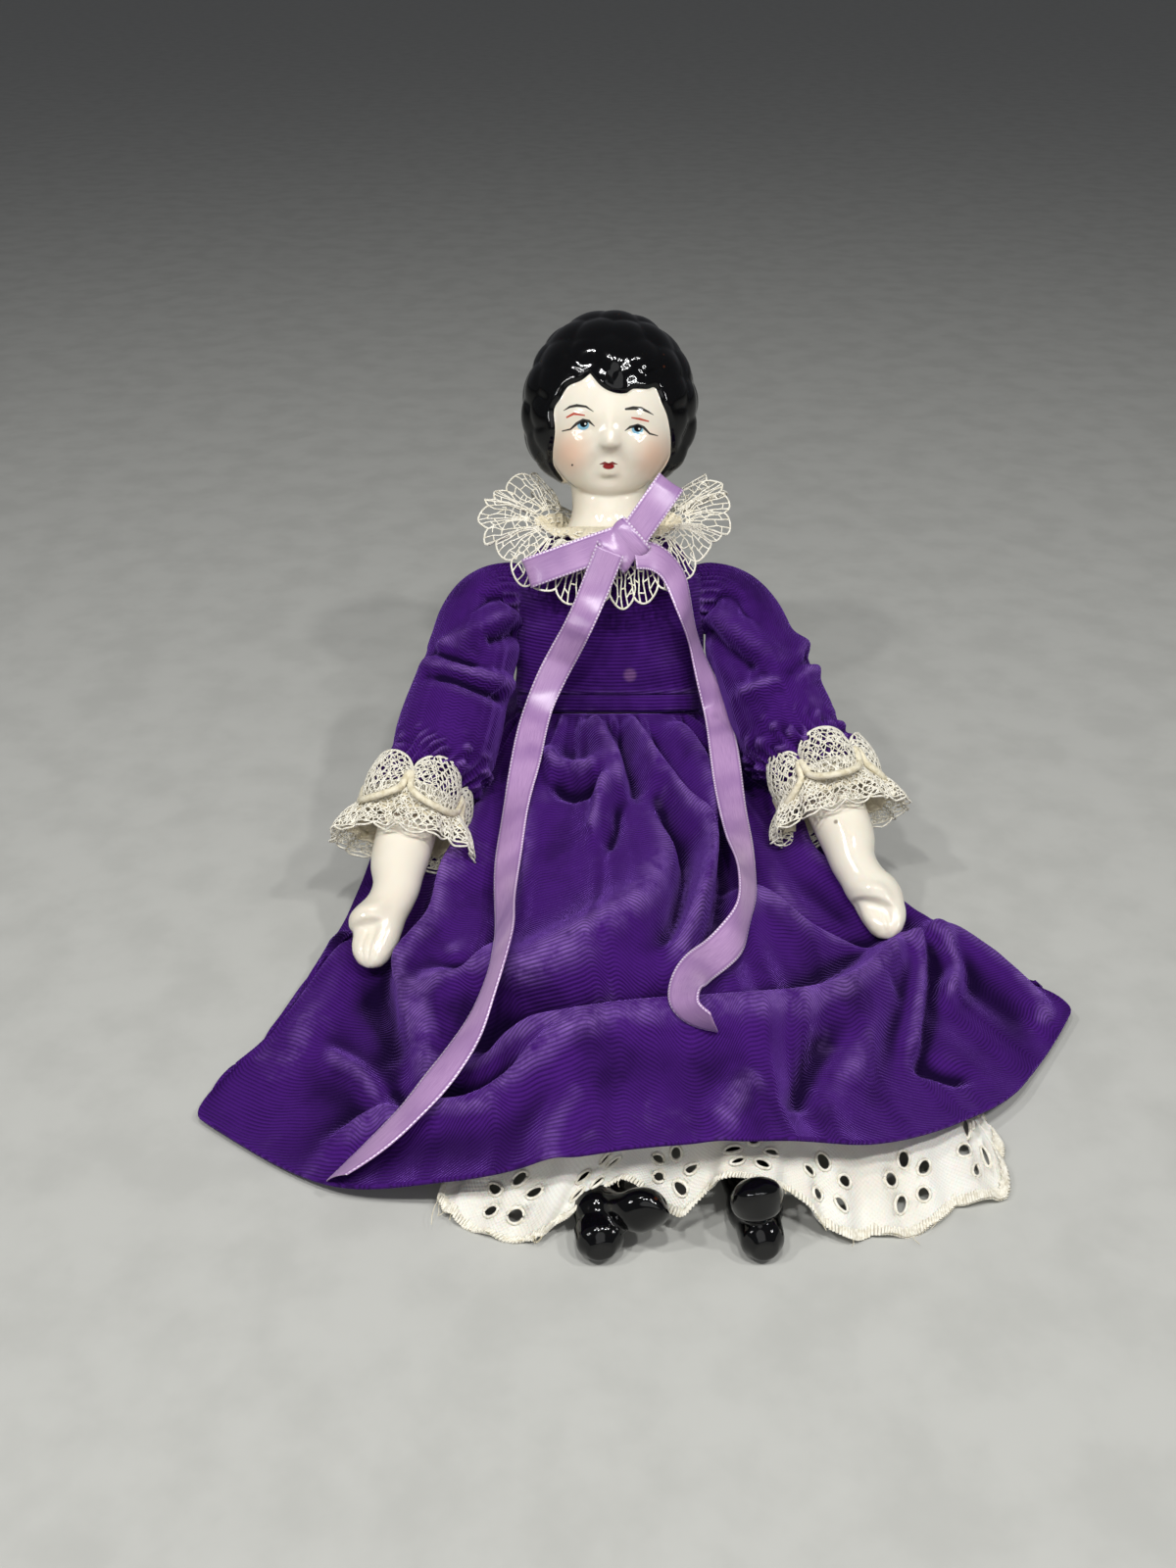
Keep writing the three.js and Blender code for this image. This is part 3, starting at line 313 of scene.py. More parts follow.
# closed skin over rings of points, for china that is then moulded
def skin(rings):
    rows, cols = rings.shape[:2]
    faces = gridFaces(rows, cols).tolist()
    points = rings.reshape(-1, 3)
    ends = np.stack([rings[0].mean(axis=0), rings[-1].mean(axis=0)])
    low, high = len(points), len(points) + 1
    for i in range(cols):
        j = (i + 1) % cols
        faces.append([low, i, j])
        faces.append([high, (rows - 1) * cols + j, (rows - 1) * cols + i])
    return np.concatenate([points, ends]), faces


def joinSkins(*skins):
    points, faces = [], []
    for part, partFaces in skins:
        start = sum(len(p) for p in points)
        points.append(part)
        faces += [[start + i for i in face] for face in partFaces]
    return np.concatenate(points), faces


# threads: many short lines of equal point count as thin tubes in one mesh
def addThreads(name, lines, radius, material, sides=5):
    lines = np.asarray(lines, float)
    count, length = lines.shape[:2]
    run = unit(np.gradient(lines, axis=1))
    aside = unit(np.cross(run, [0.31, 0.52, 0.79]))
    above = np.cross(run, aside)
    turn = turns(sides)
    size = np.broadcast_to(np.asarray(radius, float), (count,))[:, None, None, None]
    rings = (lines[:, :, None] + size * (np.cos(turn)[:, None] * aside[:, :, None]
                                         + np.sin(turn)[:, None] * above[:, :, None]))
    base = gridFaces(length, sides)
    faces = (base[None] + (np.arange(count) * length * sides)[:, None, None]).reshape(-1, 4)
    return addMesh(name, rings.reshape(-1, 3), faces.tolist(), material)


# material helpers
def newMaterial(name):
    material = bpy.data.materials.new(name)
    material.use_nodes = True
    return material, material.node_tree, material.node_tree.nodes["Principled BSDF"]


def addNode(nodes, kind, **settings):
    node = nodes.nodes.new(kind)
    for key, value in settings.items():
        setattr(node, key, value)
    return node


def feed(nodes, socket, value):
    if isinstance(value, bpy.types.NodeSocket):
        nodes.links.new(value, socket)
    else:
        socket.default_value = value


def calc(nodes, operation, first, second=0.0, third=0.0):
    node = addNode(nodes, "ShaderNodeMath", operation=operation)
    for socket, value in zip(node.inputs, (first, second, third)):
        feed(nodes, socket, value)
    return node.outputs[0]


def times(nodes, first, second):
    return calc(nodes, "MULTIPLY", first, second)


def vectorCalc(nodes, operation, first, second=(0, 0, 0)):
    node = addNode(nodes, "ShaderNodeVectorMath", operation=operation)
    feed(nodes, node.inputs[0], first)
    feed(nodes, node.inputs[1], second)
    return node.outputs["Value" if operation in ("LENGTH", "DOT_PRODUCT") else "Vector"]


def ramp(nodes, value, low, high, toLow=0.0, toHigh=1.0):
    node = addNode(nodes, "ShaderNodeMapRange", interpolation_type="SMOOTHSTEP")
    for socket, number in zip(node.inputs, (value, low, high, toLow, toHigh)):
        feed(nodes, socket, number)
    return node.outputs[0]


def paint(nodes, under, mask, over):
    node = addNode(nodes, "ShaderNodeMix", data_type="RGBA")
    feed(nodes, node.inputs[0], mask)
    feed(nodes, node.inputs[6], under)
    feed(nodes, node.inputs[7], over)
    return node.outputs[2]


def noise(nodes, place, scale, detail=3.0, roughness=0.55):
    node = addNode(nodes, "ShaderNodeTexNoise")
    feed(nodes, node.inputs["Vector"], place)
    node.inputs["Scale"].default_value = scale
    node.inputs["Detail"].default_value = detail
    node.inputs["Roughness"].default_value = roughness
    return node.outputs[0]


def readFloat(nodes, name):
    return addNode(nodes, "ShaderNodeAttribute", attribute_name=name).outputs["Fac"]


def readVector(nodes, name):
    return addNode(nodes, "ShaderNodeAttribute", attribute_name=name).outputs["Vector"]


def objectPlace(nodes):
    return addNode(nodes, "ShaderNodeTexCoord").outputs["Object"]


def clothPlace(nodes):
    return addNode(nodes, "ShaderNodeUVMap", uv_map="weave").outputs[0]


def bump(nodes, shader, height, strength, distance):
    node = addNode(nodes, "ShaderNodeBump")
    node.inputs["Strength"].default_value = strength
    node.inputs["Distance"].default_value = distance
    feed(nodes, node.inputs["Height"], height)
    feed(nodes, shader.inputs["Normal"], node.outputs[0])


# values that are the same all over a material
def setPlain(shader, values):
    for label, value in values.items():
        shader.inputs[label].default_value = value


def colour(red, green, blue):
    def linear(value):
        value = value / 255
        return value / 12.92 if value <= 0.04045 else ((value + 0.055) / 1.055) ** 2.4
    return (linear(red), linear(green), linear(blue), 1.0)


def newGroup(name, inputs, outputs):
    group = bpy.data.node_groups.new(name, "ShaderNodeTree")
    for label, kind in inputs:
        group.interface.new_socket(name=label, in_out="INPUT", socket_type=kind)
    for label, kind in outputs:
        group.interface.new_socket(name=label, in_out="OUTPUT", socket_type=kind)
    return group, addNode(group, "NodeGroupInput").outputs, addNode(group, "NodeGroupOutput").inputs


def useGroup(nodes, group, **values):
    node = addNode(nodes, "ShaderNodeGroup", node_tree=group)
    for label, value in values.items():
        feed(nodes, node.inputs[label], value)
    return node.outputs[0]


vectorKind, floatKind = "NodeSocketVector", "NodeSocketFloat"


# brush stroke between two points that tapers from one width to the other
def makeDashGroup():
    group, given, result = newGroup("brushDash", [
        ("place", vectorKind), ("start", vectorKind), ("end", vectorKind),
        ("startWidth", floatKind), ("endWidth", floatKind), ("soft", floatKind)], [("mask", floatKind)])
    off = vectorCalc(group, "SUBTRACT", given["place"], given["start"])
    run = vectorCalc(group, "SUBTRACT", given["end"], given["start"])
    part = calc(group, "DIVIDE", vectorCalc(group, "DOT_PRODUCT", off, run),
                vectorCalc(group, "DOT_PRODUCT", run, run))
    part = calc(group, "MINIMUM", calc(group, "MAXIMUM", part, 0.0), 1.0)
    scaled = addNode(group, "ShaderNodeVectorMath", operation="SCALE")
    feed(group, scaled.inputs[0], run)
    feed(group, scaled.inputs["Scale"], part)
    gap = vectorCalc(group, "LENGTH", vectorCalc(group, "SUBTRACT", off, scaled.outputs[0]))
    width = calc(group, "MULTIPLY_ADD", part,
                 calc(group, "SUBTRACT", given["endWidth"], given["startWidth"]), given["startWidth"])
    edge = calc(group, "SUBTRACT", width, gap)
    outside = times(group, given["soft"], -1.0)
    feed(group, result["mask"], ramp(group, edge, outside, given["soft"]))
    return group


# soft round spot, wide and tall
def makeSpotGroup():
    group, given, result = newGroup("paintSpot", [
        ("place", vectorKind), ("middle", vectorKind), ("size", vectorKind), ("soft", floatKind)],
        [("mask", floatKind)])
    off = vectorCalc(group, "SUBTRACT", given["place"], given["middle"])
    reach = vectorCalc(group, "LENGTH", vectorCalc(group, "DIVIDE", off, given["size"]))
    edge = calc(group, "SUBTRACT", 1.0, given["soft"])
    feed(group, result["mask"], calc(group, "SUBTRACT", 1.0, ramp(
        group, reach, edge, calc(group, "ADD", 1.0, given["soft"]))))
    return group


# scattered specks such as kiln dirt, lint or pinholes
def makeSpeckGroup():
    group, given, result = newGroup("specks", [
        ("place", vectorKind), ("scale", floatKind), ("share", floatKind)], [("mask", floatKind)])
    cells = addNode(group, "ShaderNodeTexVoronoi")
    feed(group, cells.inputs["Vector"], given["place"])
    feed(group, cells.inputs["Scale"], given["scale"])
    pick = addNode(group, "ShaderNodeSeparateColor")
    feed(group, pick.inputs[0], cells.outputs["Color"])
    chosen = calc(group, "LESS_THAN", pick.outputs[0], given["share"])
    dot = calc(group, "SUBTRACT", 1.0, ramp(group, cells.outputs["Distance"], 0.1, 0.22))
    feed(group, result["mask"], times(group, chosen, dot))
    return group


# plain weave: threads over and under, as a height from 0 to 1
def makeWeaveGroup():
    group, given, result = newGroup("plainWeave", [("place", vectorKind), ("pitch", floatKind)],
                                    [("height", floatKind)])
    parts = addNode(group, "ShaderNodeSeparateXYZ")
    feed(group, parts.inputs[0], given["place"])
    rate = calc(group, "DIVIDE", tau / 2, given["pitch"])
    first = calc(group, "SINE", times(group, parts.outputs[0], rate))
    second = calc(group, "SINE", times(group, parts.outputs[1], rate))
    crossing = times(group, first, second)
    feed(group, result["height"], calc(group, "MULTIPLY_ADD", crossing, 0.5, 0.5))
    return group


dashGroup = makeDashGroup()
spotGroup = makeSpotGroup()
speckGroup = makeSpeckGroup()
weaveGroup = makeWeaveGroup()


def strokeMask(nodes, place, points, widths, soft=0.12):
    mask = None
    for (a, b), (wa, wb) in zip(zip(points, points[1:]), zip(widths, widths[1:])):
        dash = useGroup(nodes, dashGroup, place=place, start=(a[0], a[1], 0), end=(b[0], b[1], 0),
                        startWidth=wa, endWidth=wb, soft=soft)
        mask = dash if mask is None else calc(nodes, "MAXIMUM", mask, dash)
    return mask


# glazed china, its black glaze, and the painted face
chinaLook = {
    "body": colour(236, 229, 212), "warm": colour(226, 209, 182), "cloudScale": 38.0,
    "speck": colour(96, 74, 52), "dirt": {"scale": 210.0, "share": 0.012}, "dirtWeight": 0.7,
    "black": colour(7, 7, 8), "worn": colour(70, 34, 18), "wear": {"scale": 330.0, "share": 0.02},
    "wearWeight": 0.75, "edgeSoft": 0.12, "lineWeight": 0.95, "blackSpecular": 0.3, "coat": (0.35, 0.1),
    "glaze": {"Coat Weight": 0.25, "Coat Roughness": 0.04, "Subsurface Weight": 0.08,
              "Subsurface Scale": 0.002},
}
facePaint = {
    "lid": colour(186, 62, 40), "brow": colour(16, 14, 14), "lash": colour(16, 14, 14),
    "mouth": colour(112, 14, 16), "blush": colour(240, 182, 146), "iris": colour(120, 176, 200),
    "pupil": colour(9, 9, 11), "glint": colour(240, 240, 236), "lips": colour(138, 16, 20),
    "speck": colour(22, 18, 16),
}

# face, in millimetres across and up from the middle of the head
# its lines: paint, widths and points; its spots: paint, middle, half size, softness and weight
faceLines = [
    ("lid", [0.3, 0.42, 0.2], [[-14.6, -4.9], [-12.3, -3.9], [-8.7, -4.6]]),
    ("lid", [0.2, 0.36, 0.24], [[7.2, -5.4], [9.8, -5.7], [12.9, -6.3]]),
    ("brow", [0.12, 0.4, 0.5, 0.36, 0.1],
     [[-15.7, -2.6], [-13.6, -1.6], [-11.3, -1.3], [-8.2, -1.8], [-5.7, -3.5]]),
    ("brow", [0.36, 0.62, 0.54, 0.34, 0.1],
     [[5.2, -2.7], [7.7, -2.3], [10.3, -2.3], [12.9, -3.3], [14.6, -4.1]]),
    ("lash", [0.2, 0.3, 0.5, 0.6, 0.46, 0.12],
     [[-16.2, -9.2], [-13.4, -8.8], [-11.3, -7.1], [-9.2, -6.2], [-7.2, -6.5], [-5.3, -8.2]]),
    ("lash", [0.12, 0.42, 0.6, 0.48, 0.34, 0.16],
     [[5.0, -9.6], [6.7, -8.4], [9.3, -7.8], [11.3, -8.3], [13.4, -10.2], [16.2, -10.7]]),
    ("mouth", [0.1, 0.5, 0.36, 0.5, 0.1],
     [[-3.5, -20.3], [-1.8, -20.0], [-0.5, -20.4], [0.8, -20.0], [2.5, -20.3]]),
]
faceSpots = [
    ("blush", [-13.4, -16.4], [5.4, 5.6], 0.9, 0.56),
    ("blush", [15.6, -17.8], [5.2, 6.4], 0.9, 0.56),
    ("iris", [-9.1, -7.7], [2.0, 1.55], 0.1, 0.95),
    ("iris", [9.2, -9.1], [1.95, 1.5], 0.1, 0.95),
    ("pupil", [-8.9, -7.2], [1.3, 1.15], 0.1, 1.0),
    ("pupil", [9.3, -8.7], [1.3, 1.1], 0.1, 1.0),
    ("glint", [-8.4, -7.3], [0.34, 0.3], 0.3, 0.9),
    ("glint", [9.8, -8.8], [0.34, 0.3], 0.3, 0.9),
    ("lips", [-0.5, -21.0], [2.0, 1.0], 0.18, 1.0),
    ("speck", [-12.9, -20.3], [0.34, 0.34], 0.3, 0.95),
]


def chinaBody(nodes):
    place = objectPlace(nodes)
    cloud = ramp(nodes, noise(nodes, place, chinaLook["cloudScale"]), 0.45, 0.8, 0.0, 0.4)
    tint = paint(nodes, chinaLook["body"], cloud, chinaLook["warm"])
    dirt = useGroup(nodes, speckGroup, place=place, **chinaLook["dirt"])
    return paint(nodes, tint, times(nodes, dirt, chinaLook["dirtWeight"]), chinaLook["speck"])


def glaze(nodes, shader):
    ripple = noise(nodes, objectPlace(nodes), 90.0, 2.0)
    bump(nodes, shader, ripple, 0.05, 0.001)
    setPlain(shader, chinaLook["glaze"])
    feed(nodes, shader.inputs["Roughness"], ramp(nodes, ripple, 0.3, 0.7, 0.06, 0.1))


def makeChina():
    material, nodes, shader = newMaterial("glazedChina")
    feed(nodes, shader.inputs["Base Color"], chinaBody(nodes))
    glaze(nodes, shader)
    return material


# black glaze starts where an attribute of the mesh rises through nought
def makeBlackedChina(name, withFace):
    material, nodes, shader = newMaterial(name)
    tint = chinaBody(nodes)
    if withFace:
        place = readVector(nodes, "faceMap")
        for tone, middle, size, soft, weight in faceSpots:
            mask = useGroup(nodes, spotGroup, place=place, middle=(*middle, 0), size=(*size, 1), soft=soft)
            front = times(nodes, mask, readFloat(nodes, "faceFront"))
            tint = paint(nodes, tint, times(nodes, front, weight), facePaint[tone])
        for tone, widths, points in faceLines:
            mask = strokeMask(nodes, place, points, widths)
            front = times(nodes, mask, readFloat(nodes, "faceFront"))
            tint = paint(nodes, tint, times(nodes, front, chinaLook["lineWeight"]), facePaint[tone])
    wear = useGroup(nodes, speckGroup, place=objectPlace(nodes), **chinaLook["wear"])
    worn = times(nodes, wear, chinaLook["wearWeight"])
    black = paint(nodes, chinaLook["black"], worn, chinaLook["worn"])
    reach = chinaLook["edgeSoft"]
    edge = ramp(nodes, readFloat(nodes, "blackEdge"), -reach, reach)
    feed(nodes, shader.inputs["Base Color"], paint(nodes, tint, edge, black))
    glaze(nodes, shader)
    setPlain(shader, {"Specular IOR Level": chinaLook["blackSpecular"]})
    coat = ramp(nodes, readFloat(nodes, "blackEdge"), -reach, reach, *chinaLook["coat"])
    feed(nodes, shader.inputs["Coat Weight"], coat)
    return material


# velvet: rows of pile, crushed and worn places, crests lightened partly by wear and partly as painted sheen,
# and painted shade in the hollows
# the deep colour serves random dark patches, rib furrows and painted shade in hollows; the light colour
# serves worn pile and painted sheen on crests
velvetLook = {
    "pile": colour(68, 25, 112), "deep": colour(15, 2, 36), "rubbedAndSheen": colour(146, 108, 188),
    "ribPitch": 0.00125, "patch": (26.0, 4.0, 0.6), "crush": (120.0, 5.0, 0.7), "wobble": (60.0, 2.0),
    "fibre": (2600.0, 2.0), "wear": 0.6, "blotch": 0.4, "stain": 0.7, "sway": 0.0012,
    "plain": {"Roughness": 0.86, "Specular IOR Level": 0.05, "Sheen Weight": 0.5, "Sheen Roughness": 0.3,
              "Sheen Tint": colour(166, 112, 236)},
}


def makeVelvet(name, stain=None):
    material, nodes, shader = newMaterial(name)
    place = objectPlace(nodes)
    cloth = clothPlace(nodes)
    crest = readFloat(nodes, "crest")
    patch = noise(nodes, place, *velvetLook["patch"])
    crushed = noise(nodes, place, *velvetLook["crush"])
    tint = paint(nodes, velvetLook["pile"], ramp(nodes, patch, 0.5, 0.3, 0.0, 0.55), velvetLook["deep"])
    # painted shade: the deep colour laid into the hollows between the folds
    tint = paint(nodes, tint, ramp(nodes, crest, 0.02, -0.6, 0.0, 0.95), velvetLook["deep"])
    # crests lightened with the light colour: partly real wear of the pile, partly a painted sheen on the
    # fold edges
    wear = times(nodes, ramp(nodes, crest, 0.08, 0.7), ramp(nodes, crushed, 0.3, 0.68))
    tint = paint(nodes, tint, times(nodes, wear, velvetLook["wear"]), velvetLook["rubbedAndSheen"])
    blotch = times(nodes, ramp(nodes, patch, 0.56, 0.74), ramp(nodes, crushed, 0.4, 0.65))
    blotch = times(nodes, blotch, velvetLook["blotch"])
    tint = paint(nodes, tint, blotch, velvetLook["rubbedAndSheen"])
    if stain:
        mark = useGroup(nodes, spotGroup, place=place, middle=stain["middle"], size=stain["size"], soft=0.35)
        tint = paint(nodes, tint, times(nodes, mark, velvetLook["stain"]), stain["paint"])
    parts = addNode(nodes, "ShaderNodeSeparateXYZ")
    feed(nodes, parts.inputs[0], cloth)
    wobble = noise(nodes, place, *velvetLook["wobble"])
    wobble = calc(nodes, "MULTIPLY_ADD", wobble, velvetLook["sway"], parts.outputs[1])
    rib = calc(nodes, "SINE", times(nodes, wobble, tau / velvetLook["ribPitch"]))
    furrow = times(nodes, ramp(nodes, rib, 0.3, -0.9), ramp(nodes, crushed, 0.25, 0.7, 0.2, 0.6))
    tint = paint(nodes, tint, furrow, velvetLook["deep"])
    feed(nodes, shader.inputs["Base Color"], tint)
    fibre = noise(nodes, place, *velvetLook["fibre"])
    height = calc(nodes, "MULTIPLY_ADD", rib, 0.5, fibre)
    bump(nodes, shader, height, 0.6, 0.0004)
    setPlain(shader, velvetLook["plain"])
    return material


# thread of the lace and of the stitched edges
def makeThread(name, light, dark, scale=900.0):
    material, nodes, shader = newMaterial(name)
    place = objectPlace(nodes)
    twist = noise(nodes, place, scale, 3.0)
    feed(nodes, shader.inputs["Base Color"], paint(nodes, dark, ramp(nodes, twist, 0.3, 0.65), light))
    bump(nodes, shader, twist, 0.5, 0.0003)
    setPlain(shader, {"Roughness": 0.85, "Sheen Weight": 0.2})
    return material


# woven cotton, muslin and tape
def makeWoven(name, light, dark, pitchSize, sheer=0.0):
    material, nodes, shader = newMaterial(name)
    place = objectPlace(nodes)
    cloth = clothPlace(nodes)
    weave = useGroup(nodes, weaveGroup, place=cloth, pitch=pitchSize)
    age = noise(nodes, place, 30.0, 4.0)
    tint = paint(nodes, light, ramp(nodes, age, 0.4, 0.75, 0.0, 0.7), dark)
    hollow = ramp(nodes, weave, 0.5, 0.0, 0.0, 0.3)
    feed(nodes, shader.inputs["Base Color"], paint(nodes, tint, hollow, dark))
    bump(nodes, shader, calc(nodes, "ADD", weave, times(nodes, age, 0.6)), 0.4, 0.0003)
    setPlain(shader, {"Roughness": 0.88, "Sheen Weight": 0.15, "Subsurface Weight": sheer,
                      "Subsurface Scale": 0.001})
    return material


# satin ribbon with a row of light stitches along each edge, and painted shade in broad bands along it for
# its changing reflection
satinLook = {
    "silk": colour(188, 151, 194), "shade": colour(140, 102, 156), "stitch": colour(232, 218, 236),
    "streaks": (9000.0, 160.0, 1.0), "reflectionBands": (0.25, 0.06, 1.0), "soil": (70.0, 4.0), "stitchPitch": 1.2,
    "plain": {"Roughness": 0.27, "Anisotropic": 0.6, "Sheen Weight": 0.25,
              "Sheen Tint": colour(238, 214, 246)},
}


def makeSatin():
    material, nodes, shader = newMaterial("satinRibbon")
    cloth = clothPlace(nodes)
    place = objectPlace(nodes)
    parts = addNode(nodes, "ShaderNodeSeparateXYZ")
    feed(nodes, parts.inputs[0], readVector(nodes, "ribbonMap"))
    streak = noise(nodes, vectorCalc(nodes, "MULTIPLY", cloth, satinLook["streaks"]), 1.0, 3.0)
    tint = paint(nodes, satinLook["silk"], ramp(nodes, streak, 0.35, 0.7, 0.0, 0.5), satinLook["shade"])
    soil = ramp(nodes, noise(nodes, place, *satinLook["soil"]), 0.55, 0.75, 0.0, 0.3)
    tint = paint(nodes, tint, soil, satinLook["shade"])
    # painted reflection: broad darker bands along the ribbon stand in for the changing sheen of the satin
    stretched = vectorCalc(nodes, "MULTIPLY", readVector(nodes, "ribbonMap"), satinLook["reflectionBands"])
    reflectionBands = noise(nodes, stretched, 1.0, 1.0)
    tint = paint(nodes, tint, ramp(nodes, reflectionBands, 0.42, 0.66, 0.0, 0.55), satinLook["shade"])
    edge = calc(nodes, "ABSOLUTE", parts.outputs[0])
    inside = times(nodes, ramp(nodes, edge, 0.7, 0.8), ramp(nodes, edge, 0.86, 0.83))
    tint = paint(nodes, tint, times(nodes, inside, 0.6), satinLook["shade"])
    row = times(nodes, ramp(nodes, edge, 0.88, 0.91), ramp(nodes, edge, 0.995, 0.98))
    beat = times(nodes, parts.outputs[1], tau / satinLook["stitchPitch"])
    beat = ramp(nodes, calc(nodes, "SINE", beat), -0.5, 0.0)
    tint = paint(nodes, tint, times(nodes, row, beat), satinLook["stitch"])
    feed(nodes, shader.inputs["Base Color"], tint)
    bump(nodes, shader, streak, 0.12, 0.0002)
    setPlain(shader, satinLook["plain"])
    return material


def makeSteel():
    material, nodes, shader = newMaterial("pressStudSteel")
    scuff = noise(nodes, objectPlace(nodes), 1400.0, 4.0)
    feed(nodes, shader.inputs["Base Color"], paint(
        nodes, colour(176, 178, 182), ramp(nodes, scuff, 0.5, 0.75), colour(120, 118, 114)))
    feed(nodes, shader.inputs["Roughness"], ramp(nodes, scuff, 0.3, 0.8, 0.25, 0.5))
    setPlain(shader, {"Metallic": 1.0})
    return material


china = makeChina()
headChina = makeBlackedChina("paintedHeadChina", True)
bootChina = makeBlackedChina("bootedChina", False)
velvet = makeVelvet("purpleVelvet")
stainedVelvet = makeVelvet("bodiceVelvet", {
    "middle": tuple(onTorso(643, 690, -23.4) * mm), "size": (0.0022, 0.004, 0.0022),
    "paint": colour(122, 84, 130)})
laceThread = makeThread("laceThread", colour(242, 238, 224), colour(216, 209, 188))
cordThread = makeThread("laceCord", colour(234, 226, 200), colour(206, 194, 160), 500.0)
tyingCord = makeThread("tyingCord", colour(214, 202, 172), colour(176, 160, 126), 700.0)
cotton = makeWoven("whiteCotton", colour(236, 233, 224), colour(212, 206, 190), 0.0006, 0.15)
muslin = makeWoven("bodyMuslin", colour(222, 211, 184), colour(194, 178, 146), 0.0007)
elastic = makeWoven("elasticTape", colour(232, 230, 224), colour(206, 202, 194), 0.0009)
laceTape = makeWoven("laceHeading", colour(228, 219, 194), colour(198, 186, 154), 0.0012)
satin = makeSatin()
steel = makeSteel()
print("materials made")


# china head and shoulder plate, cast in one
head = {"centre": 151, "roll": math.radians(4), "half": (27.0, 26.5, 29.7), "hair": 3.9, "hairStep": 1.5,
        "curl": 1.5, "curlSize": 10.5, "curlRound": 30.0, "voxel": 0.55}
hairline = [
    [-14.4, -30.2], [-19.5, -19.6], [-18.7, -9.1], [-19.0, -2.2], [-16.7, 1.5], [-14.1, 5.2], [-9.8, 6.8],
    [-6.9, 8.9], [-6.4, 8.6], [-3.1, 4.7], [1.0, 2.6], [5.1, 2.4], [7.7, 3.9], [12.3, 4.1], [15.2, 4.7],
    [17.5, -0.1], [19.3, -3.8], [20.6, -9.1], [21.1, -14.3], [20.8, -20.7], [18.5, -26.5], [14.0, -32.0],
    [0.0, -38.0], [-10.0, -35.0],
]
plate = {"squareness": 2.2, "rows": [
    [88, 28, 18.5], [93, 27.4, 18.2], [99, 24.8, 17.3], [104, 20.8, 16.1], [107.5, 17.3, 15.1],
    [112, 14.5, 13.5], [130, 14.1, 13.1]]}


def insideOutline(places, outline):
    inside = np.zeros(len(places), bool)
    for a, b in zip(outline, np.roll(outline, -1, axis=0)):
        crosses = (a[1] > places[:, 1]) != (b[1] > places[:, 1])
        slope = (b[0] - a[0]) / (b[1] - a[1]) if b[1] != a[1] else 0.0
        inside ^= crosses & (places[:, 0] < a[0] + slope * (places[:, 1] - a[1]))
    return inside


# how far a place of the head is into the hair; negative on the face and neck
def hairEdge(x, y, z):
    places = np.stack([x, z], axis=-1).reshape(-1, 2)
    outline = spline(hairline, np.linspace(0, 1, 121)[:-1], True)
    gap = strokeDistance(places, hairline, True, 120)[0]
    front = np.where(insideOutline(places, outline), -gap, gap).reshape(x.shape)
    back = np.minimum(8.0, (z + 25.0) * 0.9)
    return mix(front, np.maximum(back, -6), smoothstep(y, -9, -3))


def faceBump(x, z, across, up, halfWidth, halfHeight, height):
    return height * np.exp(-((x - across) / halfWidth) ** 2 - ((z - up) / halfHeight) ** 2)


faceForms = [
    [0.0, -12.6, 2.5, 2.7, 2.8], [0.0, -7.6, 2.4, 4.6, 0.8], [-2.3, -13.6, 1.3, 1.2, 0.6],
    [2.3, -13.6, 1.3, 1.2, 0.6], [-0.5, -20.0, 3.4, 1.2, 0.7], [-0.5, -21.8, 2.6, 1.1, 0.9],
    [0.0, -27.4, 13.5, 5.0, 3.9],
    [11.5, -18.5, 6.5, 6.0, 1.3], [-11.5, -18.5, 6.5, 6.0, 1.3], [9.2, -9.0, 3.8, 2.6, -1.1],
    [-9.2, -8.4, 3.8, 2.6, -1.1], [9.2, -9.0, 2.2, 1.6, 0.5], [-9.2, -8.2, 2.2, 1.6, 0.5],
    [-0.5, -23.6, 3.4, 0.9, -0.6], [-5.0, -19.5, 1.6, 2.6, -0.4], [4.6, -19.5, 1.6, 2.6, -0.4],
]


def curlBumps(directions):
    dice = np.random.default_rng(3)
    rise = head["curlSize"] / head["curlRound"]
    best = np.zeros(directions.shape[:-1])
    for row in np.arange(-1.2, 1.5, rise):
        number = max(1, round(tau * math.cos(row) * head["curlRound"] / head["curlSize"]))
        for i in range(number):
            turn = tau * (i + 0.5 * (round(row / rise) % 2) + dice.uniform(-0.2, 0.2)) / number
            up = row + dice.uniform(-0.06, 0.06)
            aim = np.array([math.cos(up) * math.sin(turn), -math.cos(up) * math.cos(turn), math.sin(up)])
            size = rise * dice.uniform(0.62, 0.86)
            reach = np.arccos(np.clip(directions @ aim, -1, 1)) / size
            best = np.maximum(best, dice.uniform(0.75, 1.1) * np.clip(1 - reach ** 2, 0, 1))
    return best


